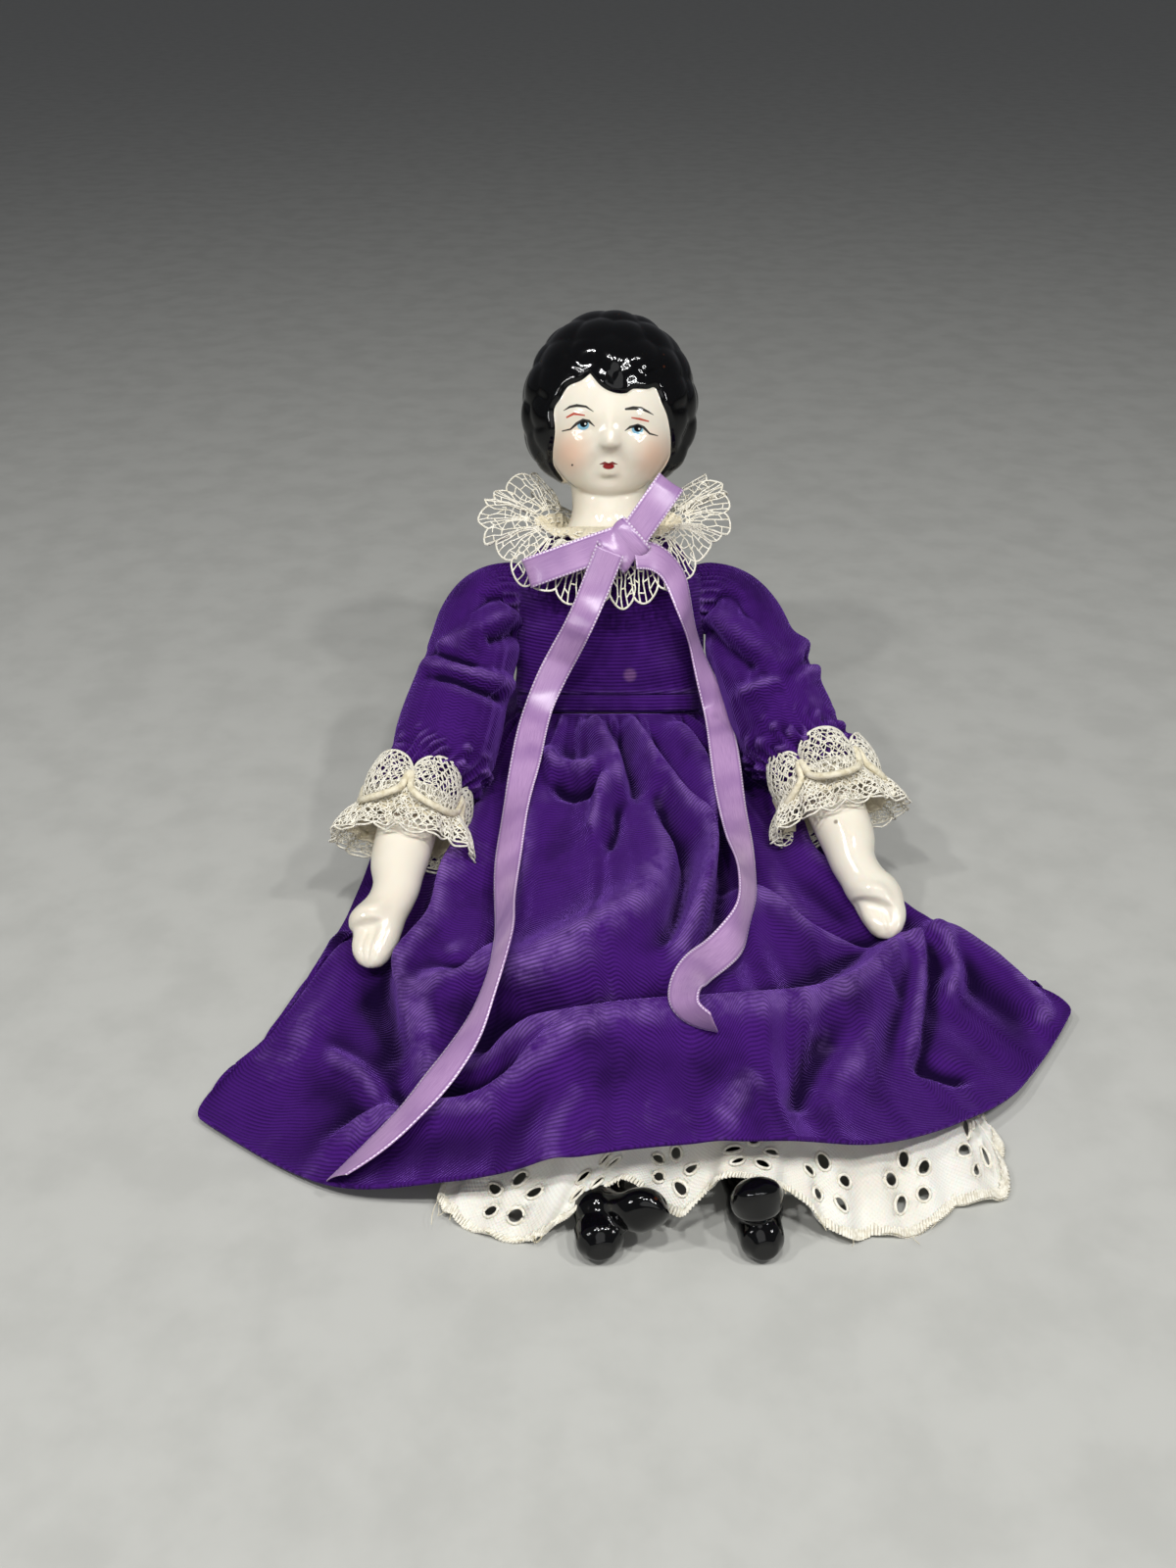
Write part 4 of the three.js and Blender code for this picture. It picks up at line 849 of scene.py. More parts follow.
def headSkin():
    rise = np.linspace(math.pi / 2, -math.pi / 2, 171)[1:-1, None]
    turn = turns(300)[None, :]
    aim = np.stack([np.cos(rise) * np.sin(turn), -np.cos(rise) * np.cos(turn),
                    np.sin(rise) * np.ones_like(turn)], axis=-1)
    radius = 1 / np.linalg.norm(aim / np.array(head["half"]), axis=-1)
    x, y, z = np.moveaxis(aim * radius[..., None], -1, 0)
    c, s = math.cos(head["roll"]), math.sin(head["roll"])
    faceX, faceZ = x * c + z * s, z * c - x * s
    hair = hairEdge(faceX, y, faceZ)
    step = head["hairStep"] * smoothstep(hair, -0.3, 1.1)
    thick = (head["hair"] - head["hairStep"]) * smoothstep(hair, 0.5, 9.0)
    curled = smoothstep(hair, 0.6, 5.0)
    curls = head["curl"] * curled * curlBumps(aim)
    front = smoothstep(-y, 3, 11)
    form = sum(faceBump(faceX, faceZ, *bumpSize) for bumpSize in faceForms) * front
    grown = radius + step + thick + curls - 0.6 * head["curl"] * curled + form
    point = aim * grown[..., None]
    chin = smoothstep(-z, 17, 29.7) * front
    point[..., 0] *= 1 + 0.06 * chin
    rolled = np.stack([point[..., 0] * c + point[..., 2] * s, point[..., 1],
                       point[..., 2] * c - point[..., 0] * s], axis=-1)
    return skin(torsoPoint(rolled[..., 0], rolled[..., 1], rolled[..., 2] + head["centre"]))


# rounded ring across the torso at each height of a table of heights, half widths and half depths
def torsoGrid(rows, heights, angles, squareness):
    sizes = alongTable(rows, heights)
    s, c = np.sin(angles), np.cos(angles)
    reach = (np.abs(s) ** squareness + np.abs(c) ** squareness) ** (-1 / squareness)
    return torsoPoint(sizes[:, :1] * s * reach, -sizes[:, 1:2] * c * reach, np.asarray(heights)[:, None])


def makeHead():
    heights = np.linspace(plate["rows"][-1][0], plate["rows"][0][0], 60)
    neck = torsoGrid(plate["rows"], heights, turns(120), plate["squareness"])
    points, faces = joinSkins(headSkin(), skin(neck))
    piece = addMesh("china_shoulder_head", points, faces, headChina)
    moulded(piece, head["voxel"], 3)
    where = pointsOf(piece)
    depth = where[:, 1] * math.cos(lean) - where[:, 2] * math.sin(lean)
    height = where[:, 1] * math.sin(lean) + where[:, 2] * math.cos(lean)
    faceX, faceZ = where[:, 0], height - head["centre"]
    black = hairEdge(faceX, depth, faceZ)
    bare = smoothstep(-faceZ, 29, 33) * smoothstep(-depth, -13, -9)
    setFloat(piece, "blackEdge", mix(black, -5.0, bare))
    setFloat(piece, "faceFront", smoothstep(-depth, 4, 9))
    setVector(piece, "faceMap", np.stack([faceX, faceZ, np.zeros(len(faceX))], axis=-1))
    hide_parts("shoulder_head")
    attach(piece, "body")


makeHead()
print("head made")

# arms: straight out of the armhole, a bend, then to the fingertips
armSize = {"shoulder": (31.0, 87.0), "bodice": 33.4, "forearm": 72.0, "sleeveEnd": 60.0, "sleeve": 16.2,
           "cuff": 12.6, "frill": 24.0}
tips = {"right": (-1, [-73.5, -99, 16.5]), "left": (1, [86, -85, 17])}


def makeArm(side, tip):
    tip = np.array(tip, float)
    wide, high = armSize["shoulder"]
    seam = torsoPoint(side * wide, 0, high)
    out = torsoPoint(side * (armSize["bodice"] + 3), 0, high)
    bend = torsoPoint(side * (armSize["bodice"] + 15), 0, high)
    straight = mix(bend, tip, 0.14)
    t = np.linspace(0, 1, 60)[:, None]
    curve = (1 - t) ** 2 * out + 2 * t * (1 - t) * bend + t * t * straight
    path = np.concatenate([seam[None], curve, mix(straight, tip, np.linspace(0.01, 1, 100)[:, None])])
    lengths = lengthsAlong(path)
    above = unit(np.cross([side, 0, 0], tip - bend))
    above = above if above[2] > 0 else -above
    return {"path": path, "lengths": lengths, "above": above, "side": side, "length": lengths[-1]}


def armMiddle(arm, at):
    at = np.asarray(at, float)
    return np.stack([np.interp(at, arm["lengths"], arm["path"][:, i]) for i in range(3)], axis=-1)


def armAcross(arm, at):
    run = unit(armMiddle(arm, np.minimum(at + 1.5, arm["length"])) - armMiddle(arm, np.maximum(at - 1.5, 0)))
    return unit(np.cross(arm["above"], run))


# tube round an arm: angle nought is above, a quarter turn on is towards +X
def armGrid(arm, at, angle, above, aside, shift=0.0):
    middle = armMiddle(arm, at)
    across = armAcross(arm, at)
    middle = middle + across * (arm["side"] * np.asarray(shift))[..., None]
    return (middle + arm["above"] * (above * np.cos(angle))[..., None]
            + across * (aside * np.sin(angle))[..., None])


arms = {name: makeArm(*given) for name, given in tips.items()}

# china forearm: distance from its top, radius above, radius aside, shift outwards
forearm = {"voxel": 0.4, "crease": 59.5, "creaseSlant": {"right": -1.5, "left": 5.0},
           "fingers": (0.45, 0.05, -0.36), "groove": 0.42, "rows": [
    [0, 7.8, 7.8, 0], [2.4, 7.8, 7.8, 0], [3, 7.8, 7.8, 0], [3.6, 5.4, 5.4, 0], [4.2, 5.4, 5.4, 0],
    [7.0, 5.4, 5.4, 0], [7.6, 5.4, 5.4, 0], [8.5, 7.8, 7.8, 0], [9.4, 7.9, 8.0, 0], [11, 8.2, 8.4, 0],
    [16, 8.9, 9.3, 0], [28, 8.8, 9.4, 0], [38, 7.8, 8.5, -0.4], [44.5, 6.7, 7.3, -1.5], [49, 6.5, 7.2, -0.9],
    [54, 6.6, 7.9, 0.8], [58, 6.4, 8.1, 1.2], [62, 5.6, 7.6, 1.0], [66, 4.8, 6.7, 0.9],
    [69.4, 3.6, 5.0, 0.5], [71.2, 2.0, 3.0, 0.3], [71.9, 0.8, 1.2, 0.2]]}


def makeForearm(name, arm):
    top = arm["length"] - armSize["forearm"]
    at = np.concatenate([np.linspace(0, 9, 14), np.linspace(9.6, 71.9, 130)])
    angle = turns(96)[None, :]
    sizes = alongTable(forearm["rows"], at)
    rows = at[:, None]
    across = np.sin(angle)
    thumbSide = smoothstep(-across, -0.55, 0.1) * smoothstep(np.cos(angle), -0.5, 0.0)
    line = rows - forearm["crease"] - forearm["creaseSlant"][name] * (across + 0.5)
    overhang = 1.5 * np.exp(-((line + 3.2) / 3.0) ** 2) * (line < 6)
    step = 2.4 * smoothstep(line, -0.5, 0.9) * (1 - 0.65 * smoothstep(line, 1.5, 9))
    spread = across + 0.12 * (rows - 66) / 6
    fingers = sum(np.exp(-((spread - place) / 0.09) ** 2) for place in forearm["fingers"])
    grooves = forearm["groove"] * fingers * smoothstep(line, 1.0, 4.0)
    grooves = grooves * fall(rows, 69.5, 71.5) * (np.cos(angle) > 0)
    change = thumbSide * (overhang - step) - grooves
    grid = armGrid(arm, (top + rows) + 0 * angle, angle + 0 * rows, sizes[:, :1] + change,
                   sizes[:, 1:2] + 0.5 * change, sizes[:, 2:3] + 0 * angle)
    points, faces = skin(grid)
    piece = addMesh("china_forearm_" + name, points, faces, china)
    moulded(piece, forearm["voxel"], 3)
    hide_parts("forearm_" + name)
    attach(piece, name + "_arm")


for armName, armPath in arms.items():
    makeForearm(armName, armPath)
print("forearms made")

# china lower legs and boots, along their own length from the hip with toes to one side
legSize = {"hip": (17.0, -24.0, 15.0), "length": 176.0, "thigh": 13.6, "calf": 9.6, "boot": 25.0,
           "drawn": 28, "wide": 13.0, "heel": 5.0, "high": 16.0, "bootTop": 34.0, "voxel": 0.5}
soles = {"right": (-1, [-3, -200, 7.6], -52), "left": (1, [36, -198, 7.6], 8)}
shank = [[68, 8.8], [70.4, 8.8], [71, 8.8], [71.4, 6.4], [72, 6.4], [75.2, 6.4], [75.8, 6.4], [76.6, 8.8],
         [77.4, 8.9], [79, 9.05], [90, 9.6], [106, 9.2], [144, 7.4], [158, 6.6], [166, 6.8], [169, 5.0]]
# foot: place from heel to toe as drawn, and its shares of the width and height
footRows = [[-7.6, 0.16, 0.3], [-6.8, 0.5, 0.58], [-5.2, 0.72, 0.78], [-1, 0.84, 1.0], [5, 0.88, 0.84],
            [11, 1.0, 0.64], [16, 0.96, 0.54], [19, 0.7, 0.44], [20.4, 0.36, 0.3], [20.9, 0.1, 0.12]]


def legFrame(side, sole, roll):
    hip = np.array(legSize["hip"]) * [side, 1, 1]
    run = unit(np.array(sole, float) - hip)
    toes = unit(np.array([0, 0, 1.0]) - run * run[2])
    roll = math.radians(roll)
    toes = toes * math.cos(roll) + np.cross(run, toes) * math.sin(roll)
    return hip, np.stack([np.cross(run, toes), run, toes])


def makeBoot(name, side, sole, roll):
    hip, axes = legFrame(side, sole, roll)
    angle = turns(56)[None, :]
    at = np.linspace(68, 169, 90)
    radius = alongTable(shank, at)
    tube = np.stack([radius * np.cos(angle), at[:, None] + 0 * angle, radius * np.sin(angle)], axis=-1)
    toward = np.concatenate(
        [np.linspace(-7.6, -5, 8), np.linspace(-4.4, 18.6, 36), np.linspace(19, 20.9, 7)])
    sizes = alongTable(footRows, toward)
    scale = legSize["boot"] / legSize["drawn"]
    floor = legSize["length"] - mix(legSize["heel"], 1.0, smoothstep(toward, 2, 11))
    half = sizes[:, 1:2] * legSize["high"] / 2
    foot = np.stack([sizes[:, :1] * legSize["wide"] / 2 * np.cos(angle),
                     floor[:, None] - half + half * np.sin(angle),
                     toward[:, None] * scale + 0 * angle], axis=-1)
    high = np.linspace(legSize["length"] - legSize["heel"] - 3, legSize["length"], 12)[:, None]
    tip = smoothstep(high, legSize["length"] - 3.4, legSize["length"] + 0.6)
    heelRadius = mix(0.45, 0.42, (high - high[0]) / 8) * legSize["wide"] * np.sqrt(1 - 0.7 * tip)
    heel = np.stack([heelRadius * np.cos(angle), high + 0 * angle,
                     1.12 * heelRadius * np.sin(angle) - 1.6 * scale], axis=-1)
    points, faces = joinSkins(*[skin(part @ axes + hip) for part in (tube, foot, heel)])
    piece = addMesh("china_boot_leg_" + name, points, faces, bootChina)
    moulded(piece, legSize["voxel"], 3)
    local = (pointsOf(piece) - hip) @ axes.T
    wave = 1.4 * np.cos(3 * np.arctan2(local[:, 0], local[:, 2]))
    setFloat(piece, "blackEdge", local[:, 1] - (legSize["length"] - legSize["bootTop"]) + wave)
    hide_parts("lower_leg_" + name)
    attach(piece, name + "_leg")


for legName, legGiven in soles.items():
    makeBoot(legName, *legGiven)
print("boots made")

# velvet bodice and waistband
bodice = {"squareness": 2.8, "top": 107, "foot": 52.4, "wall": 1.5, "pull": 0.7, "drag": 0.8,
          "footRoll": 0.5, "slack": 0.35, "lap": 1.0, "rows": [
    [53, 32.6, 21.8], [66, 33.4, 23.0], [80, 33.4, 23.6], [92, 32.8, 23.4], [98, 28.5, 22.6],
    [104, 24.1, 21.4], [107, 20.4, 19.4]]}
band = {"foot": 46.15, "high": 6.5, "wide": 32.6, "deep": 21.8, "squareness": 2.8, "wall": 1.6}
skirtTop = 45.8
outerSkins = []                    # grids of the velvet, for laying the ribbon on


def makeBodice():
    heights = np.linspace(bodice["top"], bodice["foot"], 90)
    angle = turns(240)
    grid = torsoGrid(bodice["rows"], heights, angle, bodice["squareness"])
    normal = gridNormals(grid)
    s = np.sin(angle)[None, :]
    h = heights[:, None]
    front = smoothstep(np.cos(angle), 0.1, 0.7)[None, :]
    pull = bodice["pull"] * np.cos(h / 3.1 + 5 * s) * smoothstep(66 - h, 0, 9) * np.abs(s) ** 3
    drag = bodice["drag"] * np.exp(-((h - 82 + 9 * np.abs(s)) / 4.5) ** 2) * np.abs(s) ** 2 * front
    footRoll = bodice["footRoll"] * np.exp(-((h - bodice["foot"] - 1.2) / 1.1) ** 2)
    slack = bodice["slack"] * np.sin(7 * angle + 1)[None, :] * np.cos(h / 7.0)
    past = (angle - math.pi)[None, :]
    lap = bodice["lap"] * smoothstep(past, -0.03, 0.03) * fall(past, 0.12, 0.5)
    lap = lap * smoothstep(h, 58, 60)
    grid = grid + normal * (pull + drag + footRoll + slack + lap)[..., None]
    outerSkins.append(grid)
    piece = addSheet("velvet_bodice", grid, stainedVelvet, bodice["wall"], 1.0, 20)
    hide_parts("bodice")
    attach(piece, "body")
    return piece, grid


def makeWaistband():
    heights = np.linspace(band["foot"] + band["high"], band["foot"], 26)
    angle = turns(240)
    rows = [[height, band["wide"], band["deep"]] for height in (40, 60)]
    grid = torsoGrid(rows, heights, angle, band["squareness"])
    t = (heights - band["foot"])[:, None] / band["high"]
    roll = 0.5 * np.sin(math.pi * t) + 0.25 * np.sin(23 * angle)[None, :] * (1 - t)
    roll = roll - 0.8 * np.exp(-(t / 0.08) ** 2) - 0.8 * np.exp(-((1 - t) / 0.08) ** 2)
    grid = grid + gridNormals(grid) * roll[..., None]
    outerSkins.append(grid)
    piece = addSheet("velvet_waistband", grid, velvet, band["wall"], 0.6)
    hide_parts("waistband")
    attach(piece, "body")
    return piece


bodicePiece, bodiceGrid = makeBodice()
waistPiece = makeWaistband()
declareCloth(bodicePiece, [bodiceGrid], True, "stretched")
print("bodice made")

# velvet skirt: gathered at the waist, over the legs, spread on the floor
skirtHem = [
    [10, -190, 33], [40, -187, 32], [66, -178, 22], [92, -160, 12], [116, -138, 6], [134, -102, 4],
    [113, -76, 4], [93, -48, 4], [84, -10, 4], [74, 34, 4], [48, 72, 4],
    [8, 88, 4], [-40, 76, 4], [-70, 38, 4], [-82, -5, 4], [-86, -42, 4],
    [-90, -78, 4], [-103, -116, 3], [-111, -146, 3], [-78, -174, 4], [-42, -183, 14], [-12, -190, 29],
]
skirtSize = {"rows": 190, "cols": 560, "wall": 1.3, "fold": 4.5, "folds": 9, "legStack": 6.0, "legRoom": 3.4,
             "floor": 2.1, "gather": 2.6, "depth": 1.25, "hang": 4.2, "cornerReach": 11.0, "hemRoll": 0.9}

# corners of the hem: where they lie on the floor, and how far they are drawn out
hemCorners = [((-112.0, -146.0), (-5.5, -2.5)), ((133.0, -104.0), (4.5, -1.5))]

# folds drawn on the photograph: rise in millimetres, then reach to either side and line in pixels
skirtFolds = [
    # gathers and loops below the waistband
    (3.0, (10, 14), [(562, 742), (549, 780), (541, 830), (535, 880)]),
    (5.5, (20, 7), [(600, 733), (620, 762), (631, 796), (628, 832)]),
    (-4.5, (7, 9), [(628, 742), (644, 780), (652, 812)]),
    (8.5, (13, 11), [(646, 742), (666, 790), (694, 832), (715, 852), (721, 882), (712, 925), (693, 966)]),
    (-8.0, (9, 8), [(660, 790), (684, 838), (702, 866), (702, 892), (694, 925), (682, 958)]),
    (-6.5, (9, 16), [(736, 815), (741, 870), (732, 930), (714, 986)]),
    (4.5, (9, 9), [(680, 738), (704, 772), (726, 815), (742, 852)]),
    (-4.0, (6, 6), [(664, 745), (692, 795), (716, 832)]),
    (3.5, (8, 9), [(712, 740), (732, 780), (750, 820)]),
    (4.0, (7, 9), [(554, 772), (574, 786), (598, 791), (614, 788)]),
    (-4.0, (8, 6), [(560, 800), (585, 807), (612, 801)]),
    (3.5, (10, 6), [(623, 804), (613, 832), (606, 856)]),
    (-3.5, (6, 8), [(634, 808), (626, 842), (619, 866)]),
    # mound over the thighs, its rolled end at the left, and the shelf across the knees
    (9.0, (34, 20), [(674, 862), (656, 930), (610, 970), (546, 1002), (506, 999), (470, 1008),
        (446, 1032), (436, 1066), (436, 1102)]),
    (-8.0, (13, 18), [(474, 1078), (520, 1046), (590, 1026), (650, 1016), (694, 1010)]),
    (8.5, (34, 9), [(484, 1074), (544, 1061), (600, 1053), (660, 1045), (738, 1041), (807, 1032),
        (848, 1017), (893, 989), (918, 973)]),
    (5.5, (22, 8), [(338, 1172), (379, 1153), (441, 1138), (486, 1133), (525, 1115), (565, 1089),
        (602, 1068)]),
    (-5.5, (8, 16), [(440, 1120), (490, 1110), (532, 1086)]),
    # fold beside the right arm and the wing on the floor
    (8.5, (16, 11), [(508, 805), (489, 868), (469, 905), (460, 950), (440, 985), (424, 1008),
        (430, 1032)]),
    (-8.5, (8, 12), [(522, 850), (502, 905), (497, 945), (486, 985), (460, 1000)]),
    (3.5, (16, 10), [(331, 1079), (370, 1100), (407, 1141)]),
    (-3.0, (8, 8), [(398, 1116), (412, 1130), (424, 1146)]),
    (-3.0, (18, 20), [(372, 1010), (398, 1045), (412, 1092)]),
    (3.5, (22, 22), [(300, 1080), (345, 1000), (352, 960)]),
    # folds from the left arm to the floor
    (6.5, (9, 16), [(776, 815), (801, 850), (813, 880), (842, 908), (876, 940), (896, 962)]),
    (-7.0, (7, 7), [(771, 870), (786, 906), (816, 939), (860, 963), (896, 976)]),
    (5.0, (26, 7), [(736, 905), (766, 918), (801, 938), (846, 962), (890, 975), (916, 970)]),
    (5.5, (16, 7), [(926, 960), (935, 1000), (932, 1040), (929, 1082)]),
    (-1.8, (8, 12), [(945, 985), (949, 1020), (941, 1050), (939, 1086)]),
    (5.5, (8, 10), [(936, 950), (961, 980), (971, 1000), (961, 1022)]),
    (4.0, (14, 10), [(946, 958), (996, 976), (1046, 1026), (1056, 1056)]),
    (-3.5, (8, 8), [(934, 1082), (962, 1092), (988, 1100)]),
    # slack of the front band
    (3.0, (16, 20), [(735, 1152), (750, 1126), (772, 1098)]),
    (-3.5, (14, 16), [(812, 1132), (826, 1096), (838, 1058)]),
    (3.5, (18, 22), [(860, 1112), (880, 1062), (902, 1020)]),
    (2.5, (16, 20), [(556, 1184), (574, 1142), (600, 1108)]),
]


def overLegs(x, y):
    best = np.zeros(np.shape(x))
    hipX, hipY, hipZ = legSize["hip"]
    for side, sole, _ in soles.values():
        part = np.clip((hipY - y) / (hipY - sole[1]), 0, 1)
        radius = mix(legSize["thigh"], legSize["calf"], part) + skirtSize["legStack"]
        away = x - mix(side * hipX, sole[0], part)
        best = np.maximum(best, mix(hipZ, sole[2] + 4, part) + radius - away ** 2 / (2 * radius))
    return best


def skirtBase(turn, down):
    turn, down = np.broadcast_arrays(np.asarray(turn, float), np.asarray(down, float))
    angle = tau * turn
    top = torsoPoint((band["wide"] - 0.3) * np.sin(angle), -(band["deep"] - 0.3) * np.cos(angle), skirtTop)
    edge = spline(skirtHem, turn % 1, True)
    front = 0.5 + 0.5 * np.cos(angle)
    steep = mix(mix(2.0, 2.7, smoothstep(front, 0.15, 0.4)), 0.95, smoothstep(front, 0.55, 1))
    drop = 1 - np.maximum(1 - down, 0) ** steep
    x = mix(top[..., 0], edge[..., 0], down)
    y = mix(top[..., 1], edge[..., 1], down)
    z = mix(top[..., 2], edge[..., 2], drop)
    ease = smoothstep(down, 0, 0.3) * fall(down, 0.93, 1)
    z = mix(z, np.maximum(z, overLegs(x, y)), ease)
    swell = np.sin(math.pi * np.minimum(1, 1.15 * down)) * (0.35 + 0.65 * front)
    swell = swell * (1 - 0.6 * smoothstep(front, 0.55, 0.8))
    folds = 0.5 + 0.5 * np.cos(skirtSize["folds"] * angle + 0.8 * np.sin(2 * angle))
    z = z + skirtSize["fold"] * swell * folds
    return np.stack([x, y, np.maximum(z, np.minimum(top[..., 2], skirtSize["floor"]))], axis=-1)


# how far folds lift the cloth off its plain form
def skirtLift(base, turn, down):
    angle = tau * turn
    seen = smoothstep(-base[..., 1], -12, 14) * smoothstep(down, 0.0, 0.06)
    pixels = toPixels(base).reshape(-1, 2)
    lift = sum(ridge(pixels, *fold) for fold in skirtFolds).reshape(base.shape[:-1])
    lift = lift * seen * skirtSize["depth"]
    back = 1 - smoothstep(np.cos(angle), -0.1, 0.5)
    hang = np.sin(13 * angle + 1.7 * np.sin(5 * angle) + 1.1 * np.sin(3 * angle + 4 * down))
    lift = lift + back * skirtSize["hang"] * hang * smoothstep(down, 0.05, 0.3) * (1 - 0.55 * down)
    pleat = np.sin(29 * angle + 3.1 * np.sin(4 * angle)) + 0.5 * np.sin(53 * angle + 3 * np.sin(3 * angle))
    pleat = pleat * (0.55 + 0.45 * np.sin(7 * angle + 1.3 * np.sin(2 * angle))) * (1 - 0.6 * seen)
    gather = skirtSize["gather"] * pleat * smoothstep(down, 0.0, 0.05) * fall(down, 0.1, 0.45)
    return lift + gather


# cloth raised where it would come nearer to the legs than the given room
def clearOfLegs(grid, down, room):
    legs = overLegs(grid[..., 0], grid[..., 1]) - skirtSize["legStack"] + room
    ease = smoothstep(down, 0.1, 0.3) * fall(down, 0.93, 1)
    grid[..., 2] = np.where(ease > 0, np.maximum(grid[..., 2], mix(grid[..., 2], legs, ease)), grid[..., 2])
    return grid


def makeSkirt():
    down = np.linspace(0, 1, skirtSize["rows"])[:, None]
    turn = around(skirtSize["cols"])
    grid = skirtBase(turn, down)
    lift = skirtLift(grid, turn, down)
    grid = grid + gridNormals(blurred(grid, 8)) * lift[..., None]
    grid = clearOfLegs(grid, down, skirtSize["legRoom"])
    grid = grid + (blurred(grid, 2) - grid) * smoothstep(down, 0.02, 0.08)[..., None]
    for corner, push in hemCorners:
        away = grid[..., :2] - corner
        near = np.exp(-np.linalg.norm(away, axis=-1) / skirtSize["cornerReach"])
        near = near * smoothstep(down, 0.6, 0.95)
        grid[..., :2] = grid[..., :2] + near[..., None] * push
    hemRoll = skirtSize["hemRoll"] * np.exp(-((1 - down) / 0.02) ** 2)
    grid = grid + gridNormals(grid) * hemRoll[..., None]
    floor = np.where(down < 0.3, -50, skirtSize["floor"])
    grid[..., 2] = np.maximum(grid[..., 2], floor)
    outerSkins.append(grid)
    piece = addSheet("velvet_skirt", grid, velvet, skirtSize["wall"], 3.0, 50)
    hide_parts("skirt")
    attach(piece, "body")
    declareCloth(piece, [grid], True, "gathered")


makeSkirt()
print("skirt made")

# puffed sleeves, drawn in above the cuffs; "set" is how far their slack hangs in from the arm
sleeve = {"top": -4, "wall": 1.2, "set": 5.0, "foldGrow": 1.5, "puff": 0.5, "shirr": 0.9, "knobs": 1.4,
          "least": 10.0, "leastAtElastic": 12.5}

# their folds: rise and reach in millimetres, then distance down the sleeve and degrees round it
sleeveFolds = {
    "right": [
        (-2.4, (2.6, 4.0), [(8, 60), (20, 30), (34, -20)]),
        (2.0, (5.0, 4.0), [(10, 90), (26, 52), (44, 4), (52, -40)]),
        (-2.6, (3.0, 3.4), [(26, 92), (36, 56), (44, 22)]),
        (-2.2, (2.4, 3.6), [(44, -70), (54, -20), (56, 30)]),
        (2.2, (4.0, 3.0), [(50, 96), (58, 40), (58, -10), (52, -50)]),
        (-2.4, (2.4, 2.4), [(60, 80), (64, 30), (62, -30)]),
    ],
    "left": [
        (-2.0, (3.0, 4.0), [(6, -60), (18, -28), (36, 0)]),
        (2.2, (5.0, 5.0), [(10, -86), (28, -44), (48, -10), (60, 10)]),
        (-2.4, (3.0, 4.0), [(22, -84), (40, -52), (56, -20)]),
        (2.4, (4.0, 4.0), [(40, 90), (50, 50), (64, 20)]),
        (-2.6, (2.4, 3.0), [(48, 70), (58, 34), (66, -6)]),
        (2.0, (3.0, 3.0), [(58, 60), (64, 0), (60, -60)]),
    ],
}


def makeSleeve(name, arm):
    cuff = arm["length"] - armSize["sleeveEnd"]
    big, small = armSize["sleeve"], armSize["cuff"]
    end = [[cuff - 10, big - 1], [cuff - 4, small], [cuff, small + 0.6]]
    inner = [[-4, big - 7], [-1, big - 3.4], [3.1, big - 2.4], [8, big - 1.4], [17, big - 0.6], [30, big],
             [48, big - 0.2], [cuff - 18, big + 0.4], *end]
    outer = [[-4, 8.8], [-1, 9.8], [3.1, 10.6], [8, 10.9], [17, 12.0], [30, 14.4], [48, big - 0.4],
             [cuff - 18, big + 0.6], *end]
    at = np.linspace(sleeve["top"], cuff, 160)[:, None]
    angle = turns(240)[None, :]
    outward = smoothstep(arm["side"] * np.sin(angle) + 0.35 * np.cos(angle), -0.6, 0.6)
    radius = mix(alongTable(inner, at[:, 0]), alongTable(outer, at[:, 0]), outward)
    inwards = sleeve["set"] * smoothstep(at, 4, 38) * fall(at, cuff - 17, cuff - 2)
    turned = np.degrees((angle + math.pi) % tau - math.pi)
    flat = np.stack([at + 0 * angle, np.radians(turned) * big + 0 * at], axis=-1).reshape(-1, 2)
    for rise, reach, line in sleeveFolds[name]:
        line = [(place, math.radians(degrees) * big) for place, degrees in line]
        radius = radius + sleeve["foldGrow"] * ridge(flat, rise, reach, line).reshape(radius.shape)
    puff = np.sin(27 * angle + 2 * np.sin(3 * angle)) * np.exp(-((at - 3.1) / 6.0) ** 2)
    shirr = np.sin(23 * angle + 2.5 * np.sin(4 * angle) + 0.2 * at) * np.exp(-((at - cuff + 4) / 8.0) ** 2)
    wavesRound = np.sin(11 * angle + 1.5 * np.sin(3 * angle) + 0.35 * at)
    wavesAlong = np.sin(0.7 * at + 3 * np.sin(2 * angle) + 1.3 * np.sin(5 * angle))
    knobs = wavesRound * wavesAlong * np.exp(-((at - cuff + 10) / 8.0) ** 2)
    radius = radius + sleeve["puff"] * puff + sleeve["shirr"] * (shirr + np.abs(shirr))
    radius = radius + sleeve["knobs"] * (knobs + np.abs(knobs))
    atElastic = smoothstep(at, cuff - 16, cuff - 11)
    least = mix(sleeve["least"] + inwards * outward, sleeve["leastAtElastic"], atElastic)
    radius = np.maximum(radius, least)
    grid = armGrid(arm, at + 0 * angle, angle + 0 * at, radius, radius, -inwards + 0 * angle)
    piece = addSheet("velvet_sleeve_" + name, grid, velvet, sleeve["wall"], 1.6, 24)
    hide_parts("sleeve_" + name)
    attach(piece, name + "_arm")
    declareCloth(piece, [grid], True, "gathered")


for armName, armPath in arms.items():
    makeSleeve(armName, armPath)
print("sleeves made")


